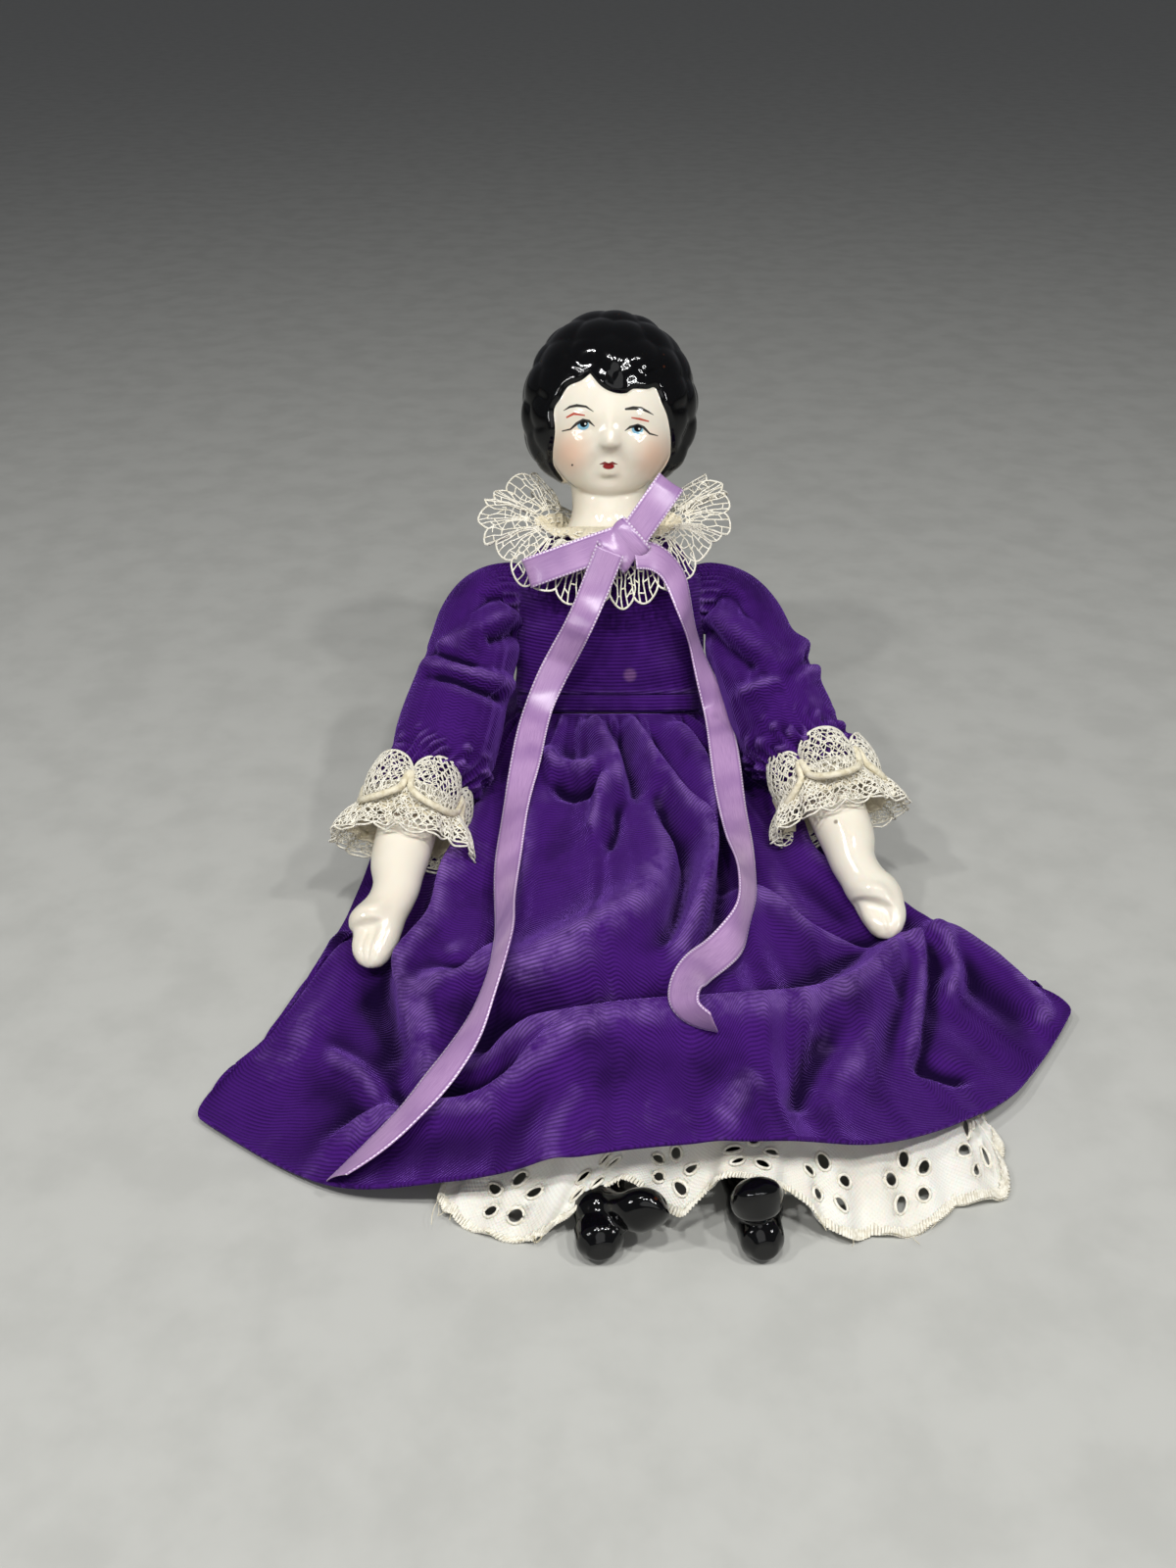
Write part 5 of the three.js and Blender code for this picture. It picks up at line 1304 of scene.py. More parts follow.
# net of threads over a surface: across and down counts, each edge a short line
def netLines(cols, rows, low, high, jitter, dice):
    i, j = np.meshgrid(np.arange(cols), np.arange(rows), indexing="ij")
    nudge = np.where((i + j) % 2 == 0, 0.22, -0.22)
    u = (i + dice.uniform(-jitter, jitter, i.shape)) / cols
    v = low + (high - low) * np.clip((j + nudge + dice.uniform(-jitter, jitter, i.shape)) / (rows - 1), 0, 1)
    place = np.stack([u, v], axis=-1)
    beside = np.roll(place, -1, axis=0).copy()
    beside[-1, :, 0] += 1
    flat = np.stack([place, beside], axis=2).reshape(-1, 2, 2)
    upright = np.stack([place[:, :-1], place[:, 1:]], axis=2)[(i[:, :-1] + j[:, :-1]) % 2 == 0]
    return np.concatenate([flat, upright])


def onSurface(surface, lines, steps=4):
    part = np.linspace(0, 1, steps)[None, :, None]
    places = lines[:, :1] * (1 - part) + lines[:, 1:] * part
    return surface(places[..., 0], places[..., 1])


def threadSizes(parts, sizes):
    return np.concatenate([np.full(len(part), size) for part, size in zip(parts, sizes)])


# scalloped edge: how far past the plain edge each place round reaches
def scallop(turn, count, depth):
    return depth * np.abs(np.sin(math.pi * count * turn)) ** 0.7


# lace collar: lies on the chest, spreads past the shoulders and stands behind the neck
collar = {"inner": 19.9, "neckline": 107.0, "waves": 11, "fans": 27, "spokes": 5, "levels": 7,
          "lifted": (25.0, 68.0), "wave": (2.6, 1.5), "arch": (3.5, 5.0), "net": (84, 5, 0.14, 0.4, 0.28),
          "between": (96, 6, 0.38, 0.86, 0.28), "threads": (0.24, 0.24, 0.27, 0.38), "heading": 0.27,
          "headingWall": 0.5, "binding": (19.9, 18.9), "bindingWall": 1.6}

# its outer edge: degrees round the neck from the front, pixel of the photograph, depth in the torso
collarEdge = [
    (0, 622, 622, -36), (22, 664, 616, -35), (44, 702, 590, -28), (62, 730, 558, -17), (78, 745, 528, -7),
    (94, 741, 502, 0), (112, 729, 490, 8), (140, 706, 512, 25), (180, 621, 552, 37),
    (220, 558, 508, 25), (248, 536, 484, 8), (266, 506, 500, 0), (282, 488, 526, -7), (298, 501, 556, -17),
    (316, 530, 594, -28), (338, 574, 616, -35),
]


def collarRow(degrees, px, py, depth):
    angle = math.radians(degrees)
    radius = collar["inner"] + 0.7
    foot = torsoPoint(radius * math.sin(angle), -radius * math.cos(angle), collar["neckline"] + 1.6)
    return [*foot, *onTorso(px, py, depth)]


collarRows = np.array([collarRow(*given) for given in collarEdge])


def collarSurface(turn, down):
    turn, down = np.broadcast_arrays(np.asarray(turn, float), np.asarray(down, float))
    row, beside = spline(collarRows, turn, True), spline(collarRows, turn + 0.004, True)
    foot, edge = row[..., :3], row[..., 3:]
    tangent = mix(beside[..., :3], beside[..., 3:], 0.6) - mix(foot, edge, 0.6)
    face = unit(np.cross(edge - foot, tangent))
    angle = tau * turn
    front = np.maximum(0, np.cos(angle)) ** 2
    ruffle = np.cos(collar["waves"] * angle + 1.3 * np.sin(2 * angle + 0.6)) + 0.4 * np.cos(23 * angle + 1.0)
    wave = ruffle * mix(*collar["wave"], front) * smoothstep(down, 0.05, 0.7)
    arch = mix(*collar["arch"], front) * np.sin(math.pi * np.clip(down, 0, 1) ** 0.7) + 1.6 * front
    point = foot + (edge - foot) * np.maximum(down, 0)[..., None]
    return point + face * (arch + wave)[..., None]


# one fan of the edge: crooked spokes from its foot and cross threads laid like bricks between them
def collarFan(middle, wide, dice):
    spokes = np.linspace(-0.5, 0.5, collar["spokes"])
    foot = np.stack([middle + 0.35 * spokes * wide, np.full(len(spokes), 0.34)], axis=-1)
    tip = np.stack([middle + spokes * wide, 0.9 + scallop(spokes + 0.5, 1, 0.1)], axis=-1)
    levels = collar["levels"]
    knots = foot + (tip - foot) * np.linspace(0, 1, levels)[:, None, None]
    knots[1:-1] += dice.uniform(-1, 1, (levels - 2, len(spokes), 2)) * [0.06 * wide, 0.022]
    lines = list(np.stack([knots[:-1], knots[1:]], axis=2).reshape(-1, 2, 2))
    for ring in range(1, levels - 1):
        lines += list(np.stack([knots[ring, :-1], knots[ring, 1:]], axis=1)[ring % 2::2])
    return lines


def makeCollar():
    dice = np.random.default_rng(11)
    count = collar["fans"]
    body = netLines(*collar["net"], dice)
    fans = [line for i in range(count) for line in collarFan((i + 0.5) / count, 1 / count, dice)]
    edgeTurns = np.linspace(0, 1, count * 12 + 1)
    edge = np.stack([edgeTurns, 0.9 + scallop(edgeTurns, count, 0.1)], axis=-1)
    between = netLines(*collar["between"], dice)
    place = between.mean(axis=1)
    fanHalf = mix(0.17, 0.5, (place[:, 1] - 0.4) / 0.5)
    between = between[np.abs(place[:, 0] * count % 1 - 0.5) > fanHalf - 0.03]
    sets = [body, between, np.array(fans), segments(edge)]
    radius = threadSizes(sets, collar["threads"])
    threads = onSurface(collarSurface, np.concatenate(sets))
    for side, name in ((-1, "right"), (1, "left")):
        mine = side * threads[:, :, 0].mean(axis=1) > 0
        net = addThreads("collar_lace_net_" + name, threads[mine], radius[mine], laceThread)
        near, far = (torsoPoint(side * place, 0, armSize["shoulder"][1]) * mm for place in collar["lifted"])
        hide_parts("collar_lace")
        tuple(near)
        tuple(far)
        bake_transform(net)
    outerSkins.append(collarSurface(around(240), np.linspace(0, 0.98, 30)[:, None]))
    down = np.linspace(0.0, collar["heading"], 30)[:, None]
    turn = around(480)
    heading = collarSurface(turn, down + 0 * turn)
    pucker = np.sin(tau * 46 * turn + 2 * np.sin(tau * 7 * turn)) * (0.6 + 0.4 * np.sin(tau * 9 * turn))
    heading = heading + gridNormals(heading) * (1.0 * pucker * smoothstep(down, 0.0, 0.1))[..., None]
    piece = addSheet("collar_lace_heading", heading, laceTape, collar["headingWall"], 0.5)
    heights = np.linspace(collar["neckline"] + 3, collar["neckline"] + 0.35, 10)
    rows = [[height, *collar["binding"]] for height in (100, 115)]
    ring = torsoGrid(rows, heights, turns(160), plate["squareness"])
    binding = addSheet("neck_binding_tape", ring, laceTape, collar["bindingWall"], 0.5)
    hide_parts("neck_binding")
    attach(binding, "body")
    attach(piece, "body")
    declareCloth(piece, [heading], True, "gathered")


makeCollar()
print("collar made")

# cuff lace: a ring of domed lobes, each edged with a thick cord, over a dense pleated frill
cuffLace = {"lobes": 5, "turned": {"right": 0.0, "left": 0.1}, "scallops": 17, "pleats": 11, "cord": 1.15,
            "dice": {"right": 21, "left": 22}, "frillNet": (118, 11, 0.12, 0.93),
            "lobeNet": (104, 9, 0.0, 0.96), "threads": (0.2, 0.36, 0.2, 0.4), "jitter": 0.3, "wave": 1.1,
            "wall": 0.4}


def frillSurface(arm):
    cuff = arm["length"] - armSize["sleeveEnd"]
    small, big = armSize["cuff"], armSize["frill"]
    rows = [[-2, small + 1.4, small + 1.4], [4, small + 3.0, small + 3.4], [10, small + 1.6, big - 3.4],
            [17, small - 0.4, big - 0.8], [19, small - 0.6, big - 0.6]]

    def surface(turn, down):
        at = mix(-1.0, 17.5, down)
        angle = tau * turn
        spread = smoothstep(down, 0.1, 0.9)
        pleat = np.cos(cuffLace["pleats"] * angle + 0.9 * np.sin(3 * angle)) + 0.4 * np.cos(23 * angle + 1)
        sizes = alongTable(rows, at)
        wave = cuffLace["wave"] * spread * pleat
        return armGrid(arm, cuff + at, angle, sizes[..., 0] + wave, sizes[..., 1] + wave)
    return surface


def lobeSurface(name, arm):
    cuff = arm["length"] - armSize["sleeveEnd"]
    small = armSize["cuff"]

    def surface(turn, down):
        across = ((turn - cuffLace["turned"][name]) * cuffLace["lobes"]) % 1 * 2 - 1
        dome = np.sqrt(np.maximum(0, 1 - across ** 2))
        at = mix(-2.0 - 7.5 * dome, 0.5 + 9.0 * dome, down)
        bulge = dome * (1.6 + 3.2 * np.sin(math.pi * np.clip(0.15 + 0.75 * down, 0, 1)))
        radius = small + 1.2 + bulge + 0.8 * down
        return armGrid(arm, cuff + at, tau * turn, radius, radius)
    return surface


# two nets that cross each other, and short stray threads, for close cotton lace
def denseNet(cols, rows, low, high, dice):
    shape = (low, high, cuffLace["jitter"], dice)
    net = np.concatenate([netLines(cols, rows, *shape), netLines(cols - 17, rows - 1, *shape)])
    stray = net[dice.integers(0, len(net), len(net) // 3)].copy()
    stretch = [2.2 / cols, 1.6 * (high - low) / rows]
    stray[:, 1] = stray[:, 0] + dice.uniform(-1, 1, (len(stray), 2)) * stretch
    stray[:, 1, 1] = np.clip(stray[:, 1, 1], low, high)
    return np.concatenate([net, stray])


def makeCuffLace(name, arm):
    dice = np.random.default_rng(cuffLace["dice"][name])
    frill, lobe = frillSurface(arm), lobeSurface(name, arm)
    count = cuffLace["scallops"]
    edgeTurns = np.linspace(0, 1, count * 10 + 1)
    edge = np.stack([edgeTurns, 0.93 + scallop(edgeTurns, count, 0.08)], axis=-1)
    frillSets = [denseNet(*cuffLace["frillNet"], dice), segments(edge)]
    lobeTurns = np.linspace(0, 1, 161)
    rim = np.stack([lobeTurns, np.zeros(161)], axis=-1)
    lobeSets = [denseNet(*cuffLace["lobeNet"], dice), segments(rim)]
    lines = [onSurface(frill, part) for part in frillSets] + [onSurface(lobe, part) for part in lobeSets]
    radius = threadSizes(lines, cuffLace["threads"])
    net = addThreads("cuff_lace_net_" + name, np.concatenate(lines), radius, laceThread, 4)
    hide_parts("cuff_lace_" + name)
    arcs = []
    for i in range(cuffLace["lobes"]):
        span = np.linspace(-0.97, 0.97, 40)
        turn = cuffLace["turned"][name] + (i + 0.5 + 0.5 * span) / cuffLace["lobes"]
        down = 0.97 - 0.5 * smoothstep(np.abs(span), 0.86, 0.97)
        line = lobe(turn, down)
        middle = armMiddle(arm, arm["length"] - armSize["sleeveEnd"] + 0 * down)
        arcs.append(line + unit(line - middle) * 0.9)
    cord = addThreads("cuff_lace_cord_" + name, np.array(arcs), cuffLace["cord"], cordThread, 10)
    heading = frill(around(240), np.linspace(0.06, 0.68, 24)[:, None])
    heading = heading - gridNormals(heading) * 0.6
    tape = addSheet("cuff_lace_heading_" + name, heading, laceTape, cuffLace["wall"], 0.6)
    for part in (net, cord, tape):
        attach(part, name + "_arm")
    declareCloth(tape, [heading], True, "gathered")


for armName, armPath in arms.items():
    makeCuffLace(armName, armPath)
print("cuffs made")

# cotton petticoat under the skirt, with its elastic, and the eyelet flounce that shows below the hem
petticoat = {"inset": 3.8, "top": 0.05, "wall": 0.7, "ripple": 0.5, "legRoom": 1.3, "floor": 0.9,
             "tapeInset": 1.4, "tapeWall": 0.7, "tapeRib": 0.2}
# lower edge of the flounce where it shows: turn from the front, then place
flounceFront = [
    [-0.5, 0, 0, 2.4], [-0.14, -58, -170, 2.4], [-0.091, -46, -181, 2.4], [-0.045, -21, -190, 2.4],
    [-0.022, -12, -187.5, 9], [0, 3, -185.5, 18], [0.018, 17, -187, 10], [0.032, 26, -186.5, 20],
    [0.05, 37, -185.5, 18.5], [0.07, 52, -188, 8], [0.091, 62, -189, 2.4], [0.136, 88, -179, 2.4],
    [0.182, 106, -165, 2.4], [0.22, 108, -146, 2.4], [0.5, 0, 0, 2.4],
]
flounce = {"high": 26.0, "motif": 25.0, "scallop": 3.2, "petals": 5, "petal": (1.75, 2.25), "ring": 5.7,
           "up": 9.8, "mesh": 2.2, "ruffle": 13.0, "wall": 0.5, "thread": 0.42, "stitch": 0.8, "frays": 26,
           "fray": 0.1}


# places below the skirt by an inset, following its hollows but not its crests
def underSkirt(turn, down, inset):
    turn, down = np.broadcast_arrays(turn, down)
    step = 0.004
    along = skirtBase(turn, np.minimum(1, down + step)) - skirtBase(turn, np.maximum(0, down - step))
    across = skirtBase(turn + step, down) - skirtBase(turn - step, down)
    base = skirtBase(turn, down)
    sunk = np.minimum(skirtLift(base, turn, down), 0) - inset
    return base + unit(np.cross(along, across)) * sunk[..., None]


def petticoatEnd(turn):
    fromFront = np.abs((turn + 0.46) % 1 - 0.5)
    return mix(0.95, 0.5, smoothstep(fromFront, 0.11, 0.165))


def makePetticoat():
    turn = around(300)
    part = np.linspace(0, 1, 60)[:, None]
    down = mix(petticoat["top"], petticoatEnd(turn), part)
    grid = underSkirt(turn, down, petticoat["inset"])
    ripple = petticoat["ripple"] * np.sin(tau * 41 * turn + 2 * np.sin(tau * 5 * turn))
    ripple = ripple * smoothstep(part, 0.02, 0.2)
    grid = grid + gridNormals(blurred(grid, 8)) * ripple[..., None]
    grid = clearOfLegs(grid, down, petticoat["legRoom"])
    grid[..., 2] = np.maximum(grid[..., 2], petticoat["floor"])
    piece = addSheet("cotton_petticoat", grid, cotton, petticoat["wall"])
    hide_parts("petticoat")
    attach(piece, "body")
    down = petticoat["top"] + np.linspace(0.005, 0.03, 8)[:, None]
    tape = underSkirt(turn, down, petticoat["inset"] + petticoat["tapeInset"])
    ribs = petticoat["tapeRib"] * np.sin(tau * 120 * turn) + 0 * down
    tape = tape + gridNormals(tape) * ribs[..., None]
    waist = addSheet("petticoat_elastic_tape", tape, elastic, petticoat["tapeWall"])
    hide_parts("petticoat_elastic")
    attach(waist, "body")
    declareCloth(piece, [grid], True, "gathered")


# top and lower edge of the flounce at close steps round the skirt
def flounceEdges():
    fromFront = np.linspace(-0.5, 0.5, 1201)
    end = petticoatEnd(fromFront)
    inset = petticoat["inset"] + 1.6
    top = underSkirt(fromFront, end - 0.01, inset)
    low = underSkirt(fromFront, np.minimum(1, end + 0.08), inset)
    low[:, 2] = np.maximum(low[:, 2], 2.1)
    shown = smoothstep(fromFront, -0.12, -0.08) * fall(fromFront, 0.165, 0.2)
    edge = mix(low, alongTable(flounceFront, fromFront), shown[:, None])
    return np.column_stack([fromFront, top]), np.column_stack([fromFront, edge])


flounceTop, flounceEdge = flounceEdges()


def flounceSurface(turn, down):
    fromFront = (turn + 0.5) % 1 - 0.5
    top, edge = alongTable(flounceTop, fromFront), alongTable(flounceEdge, fromFront)
    point = mix(top, edge, np.asarray(down)[..., None])
    point[..., 2] = np.maximum(point[..., 2], petticoat["floor"])
    return point


# lays places given as millimetres along and up the flounce; also tells its whole length
def flounceMap():
    fine = np.linspace(-0.5, 0.5, 1601)
    line = flounceSurface(fine, np.full(fine.shape, 0.9))
    lengths = lengthsAlong(line)

    def lay(along, up, out=0.0):
        along, up = np.asarray(along, float), np.asarray(up, float)
        turn = np.interp(along, lengths, fine)
        down = 1 - up / flounce["high"]
        point = flounceSurface(turn, down)
        side = flounceSurface(turn + 0.002, down) - flounceSurface(turn - 0.002, down)
        drop = flounceSurface(turn, down + 0.02) - flounceSurface(turn, down - 0.02)
        normal = unit(np.cross(drop, side))
        wave = np.cos(tau * along / flounce["ruffle"] + 1.2 * np.sin(along / 17))
        wave = wave * mix(0.4, 1.1, np.clip(down, 0, 1))
        point = point + normal * (wave + out)[..., None]
        point[..., 2] = np.maximum(point[..., 2], 0.5)
        return point
    return lay, lengths[-1]


def edgeUp(along, motif):
    return -flounce["scallop"] * np.abs(np.sin(math.pi * along / motif)) ** 0.8


def makeFlounce():
    dice = np.random.default_rng(5)
    lay, total = flounceMap()
    count = round(total / flounce["motif"])
    motif = total / count
    wide, tall = flounce["petal"]
    points, edges, holes = [], [], []

    def addLine(line, closed):
        start = len(points)
        points.extend(line)
        edges.extend((start + i, start + i + 1) for i in range(len(line) - 1))
        if closed:
            edges.append((start + len(line) - 1, start))

    for i in range(count):
        for petal in range(flounce["petals"]):
            aim = tau * petal / flounce["petals"] + math.pi / 2
            longAxis = np.array([math.cos(aim), math.sin(aim)])
            sideAxis = np.array([-math.sin(aim), math.cos(aim)])
            middle = np.array([(i + 0.5) * motif, flounce["up"]]) + flounce["ring"] * longAxis
            grow = dice.uniform(0.88, 1.1)
            t = turns(16)[:, None]
            loop = middle + grow * (tall * np.cos(t) * longAxis + wide * np.sin(t) * sideAxis)
            holes.append(loop)
            addLine(loop.tolist(), True)
    along = np.linspace(0, total, count * 22 + 1)
    addLine(np.stack([along, edgeUp(along, motif)], axis=-1).tolist(), False)
    addLine([[s, flounce["high"]] for s in np.linspace(0, total, count * 8)], False)
    rims = np.array(holes)
    centres = rims.mean(axis=1)
    across = np.arange(1, total - 1, flounce["mesh"])
    upward = np.arange(0.2, flounce["high"] - 1, flounce["mesh"])
    grid = np.stack(np.meshgrid(across, upward), axis=-1).reshape(-1, 2)
    grid = grid + dice.uniform(-0.3, 0.3, grid.shape)
    for chunk in np.array_split(grid, 20):
        near = np.linalg.norm(chunk[:, None] - centres[None], axis=2).min(axis=1)
        points.extend(chunk[near > tall + 0.5].tolist())
    made = delaunay_2d_cdt([Vector(p) for p in points], edges, [], 0, 1e-4, False)
    flat = np.array([list(v) for v in made[0]])
    faces = np.array(made[2])
    middle = flat[faces].mean(axis=1)
    keep = middle[:, 1] > edgeUp(middle[:, 0], motif)
    for rim, centre in zip(rims, centres):
        close = np.where(np.linalg.norm(middle - centre, axis=1) < tall * 1.2)[0]
        keep[close[insideOutline(middle[close], rim)]] = False
    faces = faces[keep]
    piece = addMesh("eyelet_flounce_cotton", lay(flat[:, 0], flat[:, 1]), faces.tolist(), cotton)
    setWeave(piece, flat[faces.ravel()] * mm)
    thicken(piece, flounce["wall"])
    rings = np.concatenate([rims, rims[:, :1]], axis=1)
    rimLines = lay(rings[..., 0], rings[..., 1], 0.1)
    rimPiece = addThreads("eyelet_rims", rimLines, flounce["thread"], laceThread, 6)
    stitch = np.arange(flounce["stitch"] / 2, total, flounce["stitch"])
    low = edgeUp(stitch, motif)
    part = np.linspace(-0.3, 2.3, 4)[None, :] * dice.uniform(0.8, 1.15, (len(stitch), 1))
    lines = lay(stitch[:, None] + 0.12 * part, low[:, None] + part, 0.3)
    edging = addThreads("eyelet_edge_stitches", lines, flounce["thread"], laceThread, 5)
    frays = []
    for start in dice.uniform(0.36, 0.62, flounce["frays"]) * total:
        t = np.linspace(0, 1, 6)
        sway = dice.uniform(-3, 3)
        up = edgeUp(start, motif) - 4.5 * dice.uniform(0.3, 1) * t
        frays.append(lay(start + sway * t * t, up, 0.5 + 1.5 * t))
    fray = addThreads("eyelet_frays", np.array(frays), flounce["fray"], cordThread, 4)
    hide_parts("eyelet_flounce")
    for part in (piece, rimPiece, edging, fray):
        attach(part, "body")
    laid = lay(flat[:, 0], flat[:, 1])[faces]


makePetticoat()
makeFlounce()
print("petticoat and flounce made")

# satin ribbon: bow at the neck and two long tails
ribbon = {"half": 5.0, "thick": 0.35, "cols": 11, "clear": 1.3, "slant": 0.03, "hollow": 0.35}

# tails: line on the photograph, then by pixel row the side each tilts to and how much of its width is seen
tails = {
    "right": {
        "line": [
            (622, 562), (604, 607), (585, 649), (563, 690), (547, 728), (537, 773), (526, 821), (517, 880),
            (514, 925), (512, 958), (497, 1010), (474, 1062), (430, 1120), (385, 1165), (332, 1206)],
        "tilt": [[562, 1], [1206, 1]],
        "seen": [
            [562, 0.95], [760, 1], [821, 0.84], [880, 0.74], [925, 0.62], [958, 0.45], [985, 0.36],
            [1010, 0.4], [1062, 0.6], [1120, 0.74], [1165, 0.46], [1190, 0.24], [1206, 0.06]]},
    "left": {
        "line": [
            (648, 566), (667, 567), (686, 582), (697, 610), (706, 642), (715, 674), (728, 712), (737, 750),
            (745, 810), (756, 860), (765, 900), (758, 940), (738, 968), (711, 988), (697, 1011), (703, 1034),
            (736, 1050)],
        "tilt": [[566, -1], [940, -1], [985, 1], [1052, 1]],
        "seen": [
            [566, 0.9], [582, 0.85], [610, 0.55], [632, 0.42], [659, 0.34], [690, 0.6], [724, 0.95],
            [766, 1], [823, 0.84], [881, 0.68], [905, 0.34], [920, 0.26], [940, 0.5], [960, 0.85],
            [988, 1], [1010, 0.9], [1036, 0.6], [1052, 0.2]]},
}


def addRibbon(line, aside, slant=0.0):
    v = np.linspace(-1, 1, ribbon["cols"])
    run = unit(np.gradient(line, axis=0))
    face = unit(np.cross(run, aside))
    rows = np.linspace(0, 1, len(line))
    grid = np.zeros((len(line), len(v), 3))
    for column, place in enumerate(v):
        cut = rows * (1 - slant * (place + 1) / 2)
        for axis in range(3):
            edge = line[:, axis] + aside[:, axis] * place * ribbon["half"]
            edge = edge - face[:, axis] * ribbon["hollow"] * place ** 2
            grid[:, column, axis] = np.interp(cut, rows, edge)
    return grid


def finishRibbon(name, grids):
    points, faces, maps = [], [], []
    for grid in grids:
        start = sum(len(p) for p in points)
        rows, cols = grid.shape[:2]
        lengths = lengthsAlong(grid[:, cols // 2])
        v = np.linspace(-1, 1, cols)
        maps.append(np.stack(np.broadcast_arrays(v[None, :], lengths[:, None], 0.0), axis=-1).reshape(-1, 3))
        points.append(grid.reshape(-1, 3))
        faces.append(gridFaces(rows, cols, False) + start)
    faces = np.concatenate(faces)
    maps = np.concatenate(maps)
    piece = addMesh(name, np.concatenate(points), faces.tolist(), satin)
    flat = np.stack([maps[:, 0] * ribbon["half"], maps[:, 1]], axis=-1) * mm
    setWeave(piece, flat[faces.ravel()])
    setVector(piece, "ribbonMap", maps)
    thicken(piece, ribbon["thick"])
    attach(piece, "body")
    return piece


# lowest of each value and its neighbours, and a running mean
def lowest(values, reach):
    return np.min([np.roll(np.pad(values, reach, "edge"), step) for step in range(-reach, reach + 1)],
                  axis=0)[reach:-reach]


def evened(values, reach):
    return np.convolve(np.pad(values, reach, "edge"), np.full(2 * reach + 1, 1 / (2 * reach + 1)), "valid")


# tail laid along a line of the photograph: taut where the cloth falls away, never inside the cloth
def tailGrid(tail, cloth):
    part = np.linspace(0, 1, 190)
    pixels = spline(tail["line"], part)
    rays = np.array([pixelRay(*pixel) for pixel in pixels])
    reach, normals = [], []
    for ray in rays:
        hit, normal, _, distance = cloth.ray_cast(Vector(eye), Vector(ray))
        reach.append(distance if hit else reach[-1])
        normals.append(np.array(normal) if hit else normals[-1])
    normals = np.array(normals)
    normals = np.where((normals * rays).sum(axis=1, keepdims=True) > 0, -normals, normals)
    for _ in range(16):
        normals[1:-1] = unit(softened(normals))
    seen = evened(np.interp(pixels[:, 1], *np.array(tail["seen"]).T), 5)
    seen = np.clip(seen + 0.06 * np.sin(part * 41), 0.04, 1)
    limit = lowest(np.array(reach), 4) - ribbon["clear"] - 3.6 * np.sqrt(1 - seen ** 2)
    limit[:14] -= np.linspace(4.5, 0.0, 14)
    taut = limit.copy()
    for _ in range(500):
        taut[1:-1] = np.minimum(limit[1:-1], 0.5 * (taut[:-2] + taut[2:]))
    line = eye + rays * evened(mix(taut, limit, 0.12), 3)[:, None]
    run = unit(np.gradient(line, axis=0))
    flat = unit(np.cross(normals, run))
    lifted = np.cross(run, flat)
    across = unit(np.cross(rays, run))
    across = np.where((across * flat).sum(axis=1, keepdims=True) < 0, -across, across)
    tilt = np.interp(pixels[:, 1], *np.array(tail["tilt"]).T)
    lying, standing = (flat * across).sum(axis=1), (lifted * across).sum(axis=1)
    roll = np.arctan2(standing, lying) + tilt * np.arccos(np.clip(seen / np.hypot(lying, standing), -1, 1))
    roll = evened(roll, 4)
    aside = flat * np.cos(roll)[:, None] + lifted * np.sin(roll)[:, None]
    grid = addRibbon(line, aside, ribbon["slant"])
    for _ in range(24):
        grid[1:-1] = softened(grid)
    for _ in range(3):
        short = np.zeros(len(grid))
        for row, col in np.ndindex(grid.shape[:2]):
            near, normal, _, gap = cloth.find_nearest(Vector(grid[row, col]))
            inside = (Vector(grid[row, col]) - near).dot(normal)
            if gap < 8:
                short[row] = max(short[row], 0.6 - inside)
        short = evened(-lowest(-short, 5), 5)
        grid = grid - rays[:, None, :] * short[:, None, None]
    return grid


# side view of a loop of the bow: share of its length, and millimetres behind its middle
loopShape = [(0.0, -1.6), (0.2, -3.8), (0.55, -4.4), (0.85, -3.2), (0.98, -1.6), (1.0, 0.2), (0.94, 1.5),
             (0.6, 1.9), (0.25, 1.0), (0.0, 0.2)]


# loop of the bow from one pixel to another: out along its front, back along its rear
def bowLoop(start, tip, depth):
    a, b = onTorso(*start, depth), onTorso(*tip, depth)
    out = unit(b - a)
    length = np.linalg.norm(b - a)
    part = np.linspace(0, 1, 70)
    path = spline(loopShape, part)
    line = a + path[:, :1] * length * out + path[:, 1:] * torsoBack
    aside = np.broadcast_to(unit(np.cross(torsoBack, out)), line.shape)
    crease = 0.5 * np.sin(math.pi * part * 5)[:, None] * torsoBack * 0.4
    return addRibbon(line + crease, aside)


def makeBow():
    loops = [bowLoop((640, 549), (539, 585), -34.5), bowLoop((640, 556), (684, 493), -35.0)]
    across = unit(onTorso(648, 545, -38) - onTorso(622, 568, -38))
    upward = unit(np.cross(across, torsoBack))
    middle = onTorso(636, 556, -37.5)
    t = np.linspace(-1.9, 1.9, 40)
    wrap = middle + np.outer(np.sin(t) * 6.4, upward) - np.outer(np.cos(t) * 2.3, torsoBack)
    knot = addRibbon(wrap, np.broadcast_to(across * 1.25, wrap.shape))
    dent = np.cos(np.linspace(-1, 1, ribbon["cols"]) * 5 + 0.6)[None, :, None] * 0.35
    knot = knot + dent * gridNormals(knot, False)
    piece = finishRibbon("satin_bow", [*loops, knot])
    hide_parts("ribbon_bow")
    declareCloth(piece, [*loops, knot], False, "folded")


def makeTails():
    cloth = treeOf(outerSkins)
    for side, tail in tails.items():
        grid = tailGrid(tail, cloth)
        piece = finishRibbon("satin_tail_" + side, [grid])
        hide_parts("ribbon_tail_" + side)
        declareCloth(piece, [grid], False, "draped")


makeBow()
makeTails()
print("ribbon made")


# cloth lengths of a rounded piece, read straight from its place
def weaveByPlace(piece):
    flat = pointsOf(piece)[:, [0, 2]] * mm
    index = np.empty(len(piece.data.loops), np.int32)
    piece.data.loops.foreach_get("vertex_index", index)
    setWeave(piece, flat[index])


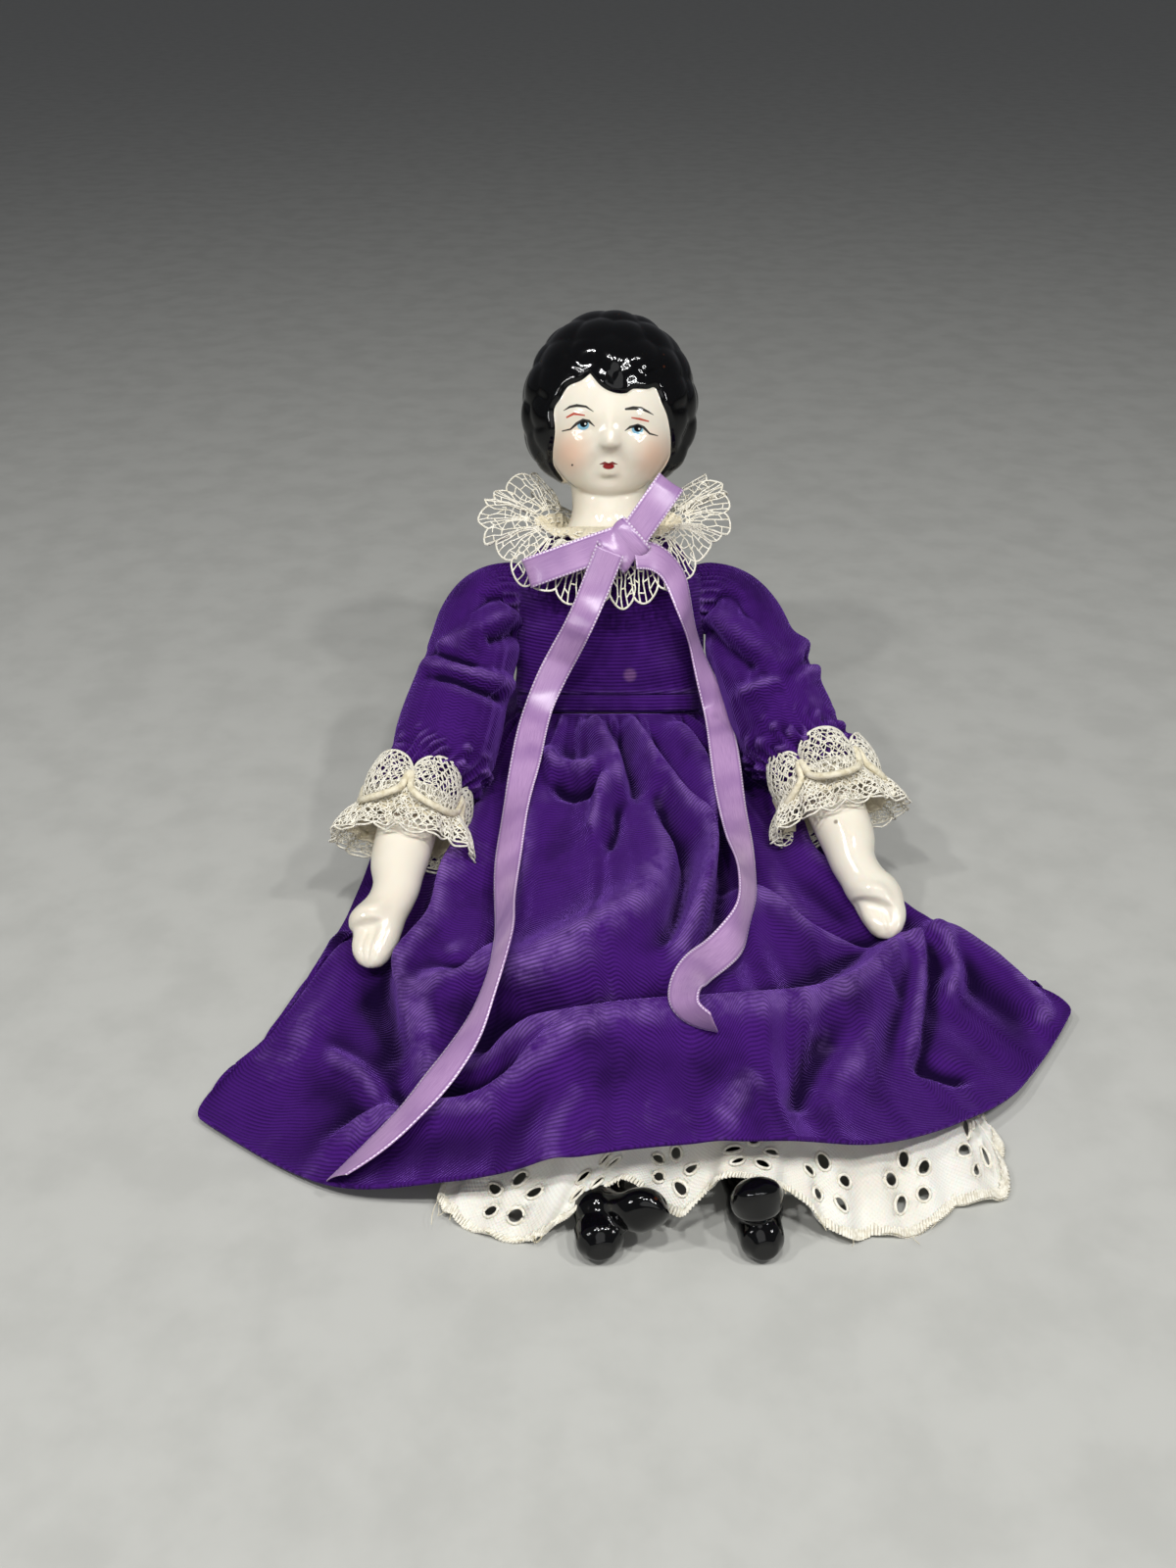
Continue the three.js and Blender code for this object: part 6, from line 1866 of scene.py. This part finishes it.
# stuffed muslin body, thighs and upper arms: rounded from the solids, hidden by the dress
def makeStuffed(name, body, cloth, stuffing, fill, solids, voxel, swell):
    form = bmesh.new()
    for node in solids:
        form.from_mesh(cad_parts[node].data)
    mesh = bpy.data.meshes.new(name)
    form.to_mesh(mesh)
    form.free()
    mesh.materials.append(muslin)
    piece = bpy.data.objects.new(name, mesh)
    bpy.context.collection.objects.link(piece)
    moulded(piece, voxel, 4)
    addModifier(piece, "DISPLACE", strength=swell * mm, mid_level=0.0)
    applyModifiers(piece)
    piece.data.polygons.foreach_set("material_index", [0] * len(piece.data.polygons))
    piece.data.shade_smooth()
    weaveByPlace(piece)
    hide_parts(cloth, stuffing)
    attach(piece, body)


fills = {"torso": 0.7, "limb": 0.6}
makeStuffed("muslin_torso", "body", "torso_cloth", "torso_stuffing", fills["torso"],
            ["torso_stuffing"], 1.6, 1.1)
for sideName in ("right", "left"):
    for limb, bodyEnd in (("thigh", "_leg"), ("upper_arm", "_arm")):
        casing, wadding = limb + "_" + sideName, limb + "_stuffing_" + sideName
        makeStuffed("muslin_" + casing, sideName + bodyEnd, casing, wadding, fills["limb"],
                    [casing, wadding], 0.6, 0.15)
print("stuffed pieces made")


# small hidden soft solids become rounded pieces of the same place; the steel studs keep their solids
def recover(node, name, material, body, voxel):
    piece = bpy.data.objects.new(name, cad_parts[node].data.copy())
    bpy.context.collection.objects.link(piece)
    piece.data.materials.clear()
    piece.data.materials.append(material)
    moulded(piece, voxel, 2)
    weaveByPlace(piece)
    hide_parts(node)
    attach(piece, body)


for number in range(1, 5):
    recover("plate_stitch_" + str(number), "cord_stitch_" + str(number), tyingCord, "body", 0.25)
for number in range(1, 4):
    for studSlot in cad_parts["press_stud_" + str(number)].material_slots:
        studSlot.material = steel
recover("back_placket", "cotton_placket", cotton, "body", 0.35)
for sideName in ("right", "left"):
    for limb in ("arm", "leg"):
        binding = limb + "_binding_" + sideName
        recover(binding, "cord_" + binding, tyingCord, sideName + "_" + limb, 0.3)
    recover("cuff_elastic_" + sideName, "elastic_cuff_" + sideName, elastic,
            sideName + "_arm", 0.4)
print("hidden pieces made")

# camera at the photograph's angle, pale floor and soft lights, in metres
stageLook = {"floor": colour(186, 186, 180), "grain": colour(178, 178, 172), "half": 9.0,
             "sky": (0.9, 0.92, 1.0, 1), "skyStrength": 0.12}
lampRow = {"count": 5, "apart": 0.25, "size": 0.055, "power": 2.3}


def makeStage():
    camera = bpy.data.objects.new("camera", bpy.data.cameras.new("camera"))
    bpy.context.collection.objects.link(camera)
    camera.location = Vector(eye * mm)
    camera.rotation_euler = (math.pi / 2 - pitch, 0, 0)
    camera.data.sensor_width = 36
    camera.data.lens = focal / (2 * middleY) * 36
    camera.data.clip_start = 0.01
    bpy.context.scene.camera = camera
    material, nodes, shader = newMaterial("paleFloor")
    grain = noise(nodes, objectPlace(nodes), 40.0, 4.0)
    feed(nodes, shader.inputs["Base Color"], paint(
        nodes, stageLook["floor"], ramp(nodes, grain, 0.35, 0.7), stageLook["grain"]))
    setPlain(shader, {"Roughness": 0.9})
    half = stageLook["half"] / mm
    corners = [(-half, -half, 0), (half, -half, 0), (half, half, 0), (-half, half, 0)]
    floor = addMesh("floor", corners, [(0, 1, 2, 3)], material)
    world = bpy.data.worlds.new("studio")
    world.use_nodes = True
    sky = world.node_tree.nodes["Background"]
    sky.inputs["Color"].default_value = stageLook["sky"]
    sky.inputs["Strength"].default_value = stageLook["skyStrength"]
    bpy.context.scene.world = world
    bpy.context.scene.view_settings.view_transform = "Standard"


def addLight(name, place, aim, size, power):
    data = bpy.data.lights.new(name, "AREA")
    data.shape = "DISK"
    data.size = size
    data.energy = power
    light = bpy.data.objects.new(name, data)
    bpy.context.collection.objects.link(light)
    light.location = place
    light.rotation_euler = (Vector(aim) - Vector(place)).to_track_quat("-Z", "Y").to_euler()
    return light


# rings of small lamps at both sides in front, one pair high and one low: they light only gloss
ringLamp = {"places": ((-38, 54), (38, 54), (-50, 12), (50, 12)), "away": 0.65, "radius": 0.05, "bulbs": 12,
            "size": 0.014, "power": 0.07, "aim": Vector((0, -0.02, 0.14))}


def addRingLamp(name, turn, rise):
    toward = Vector((math.sin(turn) * math.cos(rise), -math.cos(turn) * math.cos(rise), math.sin(rise)))
    across = toward.cross(Vector((0, 0, 1))).normalized()
    upward = across.cross(toward)
    middle = ringLamp["aim"] + toward * ringLamp["away"]
    for bulb in range(ringLamp["bulbs"]):
        angle = tau * bulb / ringLamp["bulbs"]
        place = middle + (across * math.cos(angle) + upward * math.sin(angle)) * ringLamp["radius"]
        light = addLight(name + str(bulb), place, ringLamp["aim"], ringLamp["size"], ringLamp["power"])
        light.visible_diffuse = False
        light.visible_camera = False


makeStage()
for lampNumber in range(lampRow["count"]):
    lampPlace = (-0.5 + lampRow["apart"] * lampNumber, -0.5 - 0.12 * (lampNumber % 2), 0.9)
    addLight("lamp" + str(lampNumber), lampPlace, (0, -0.06, 0.06), lampRow["size"], lampRow["power"])
addLight("fill", (-0.1, -1.3, 0.62), (0, -0.05, 0.08), 1.0, 2.6)
for lampNumber, (lampTurn, lampRise) in enumerate(ringLamp["places"]):
    addRingLamp("ring" + str(lampNumber) + "bulb", math.radians(lampTurn), math.radians(lampRise))
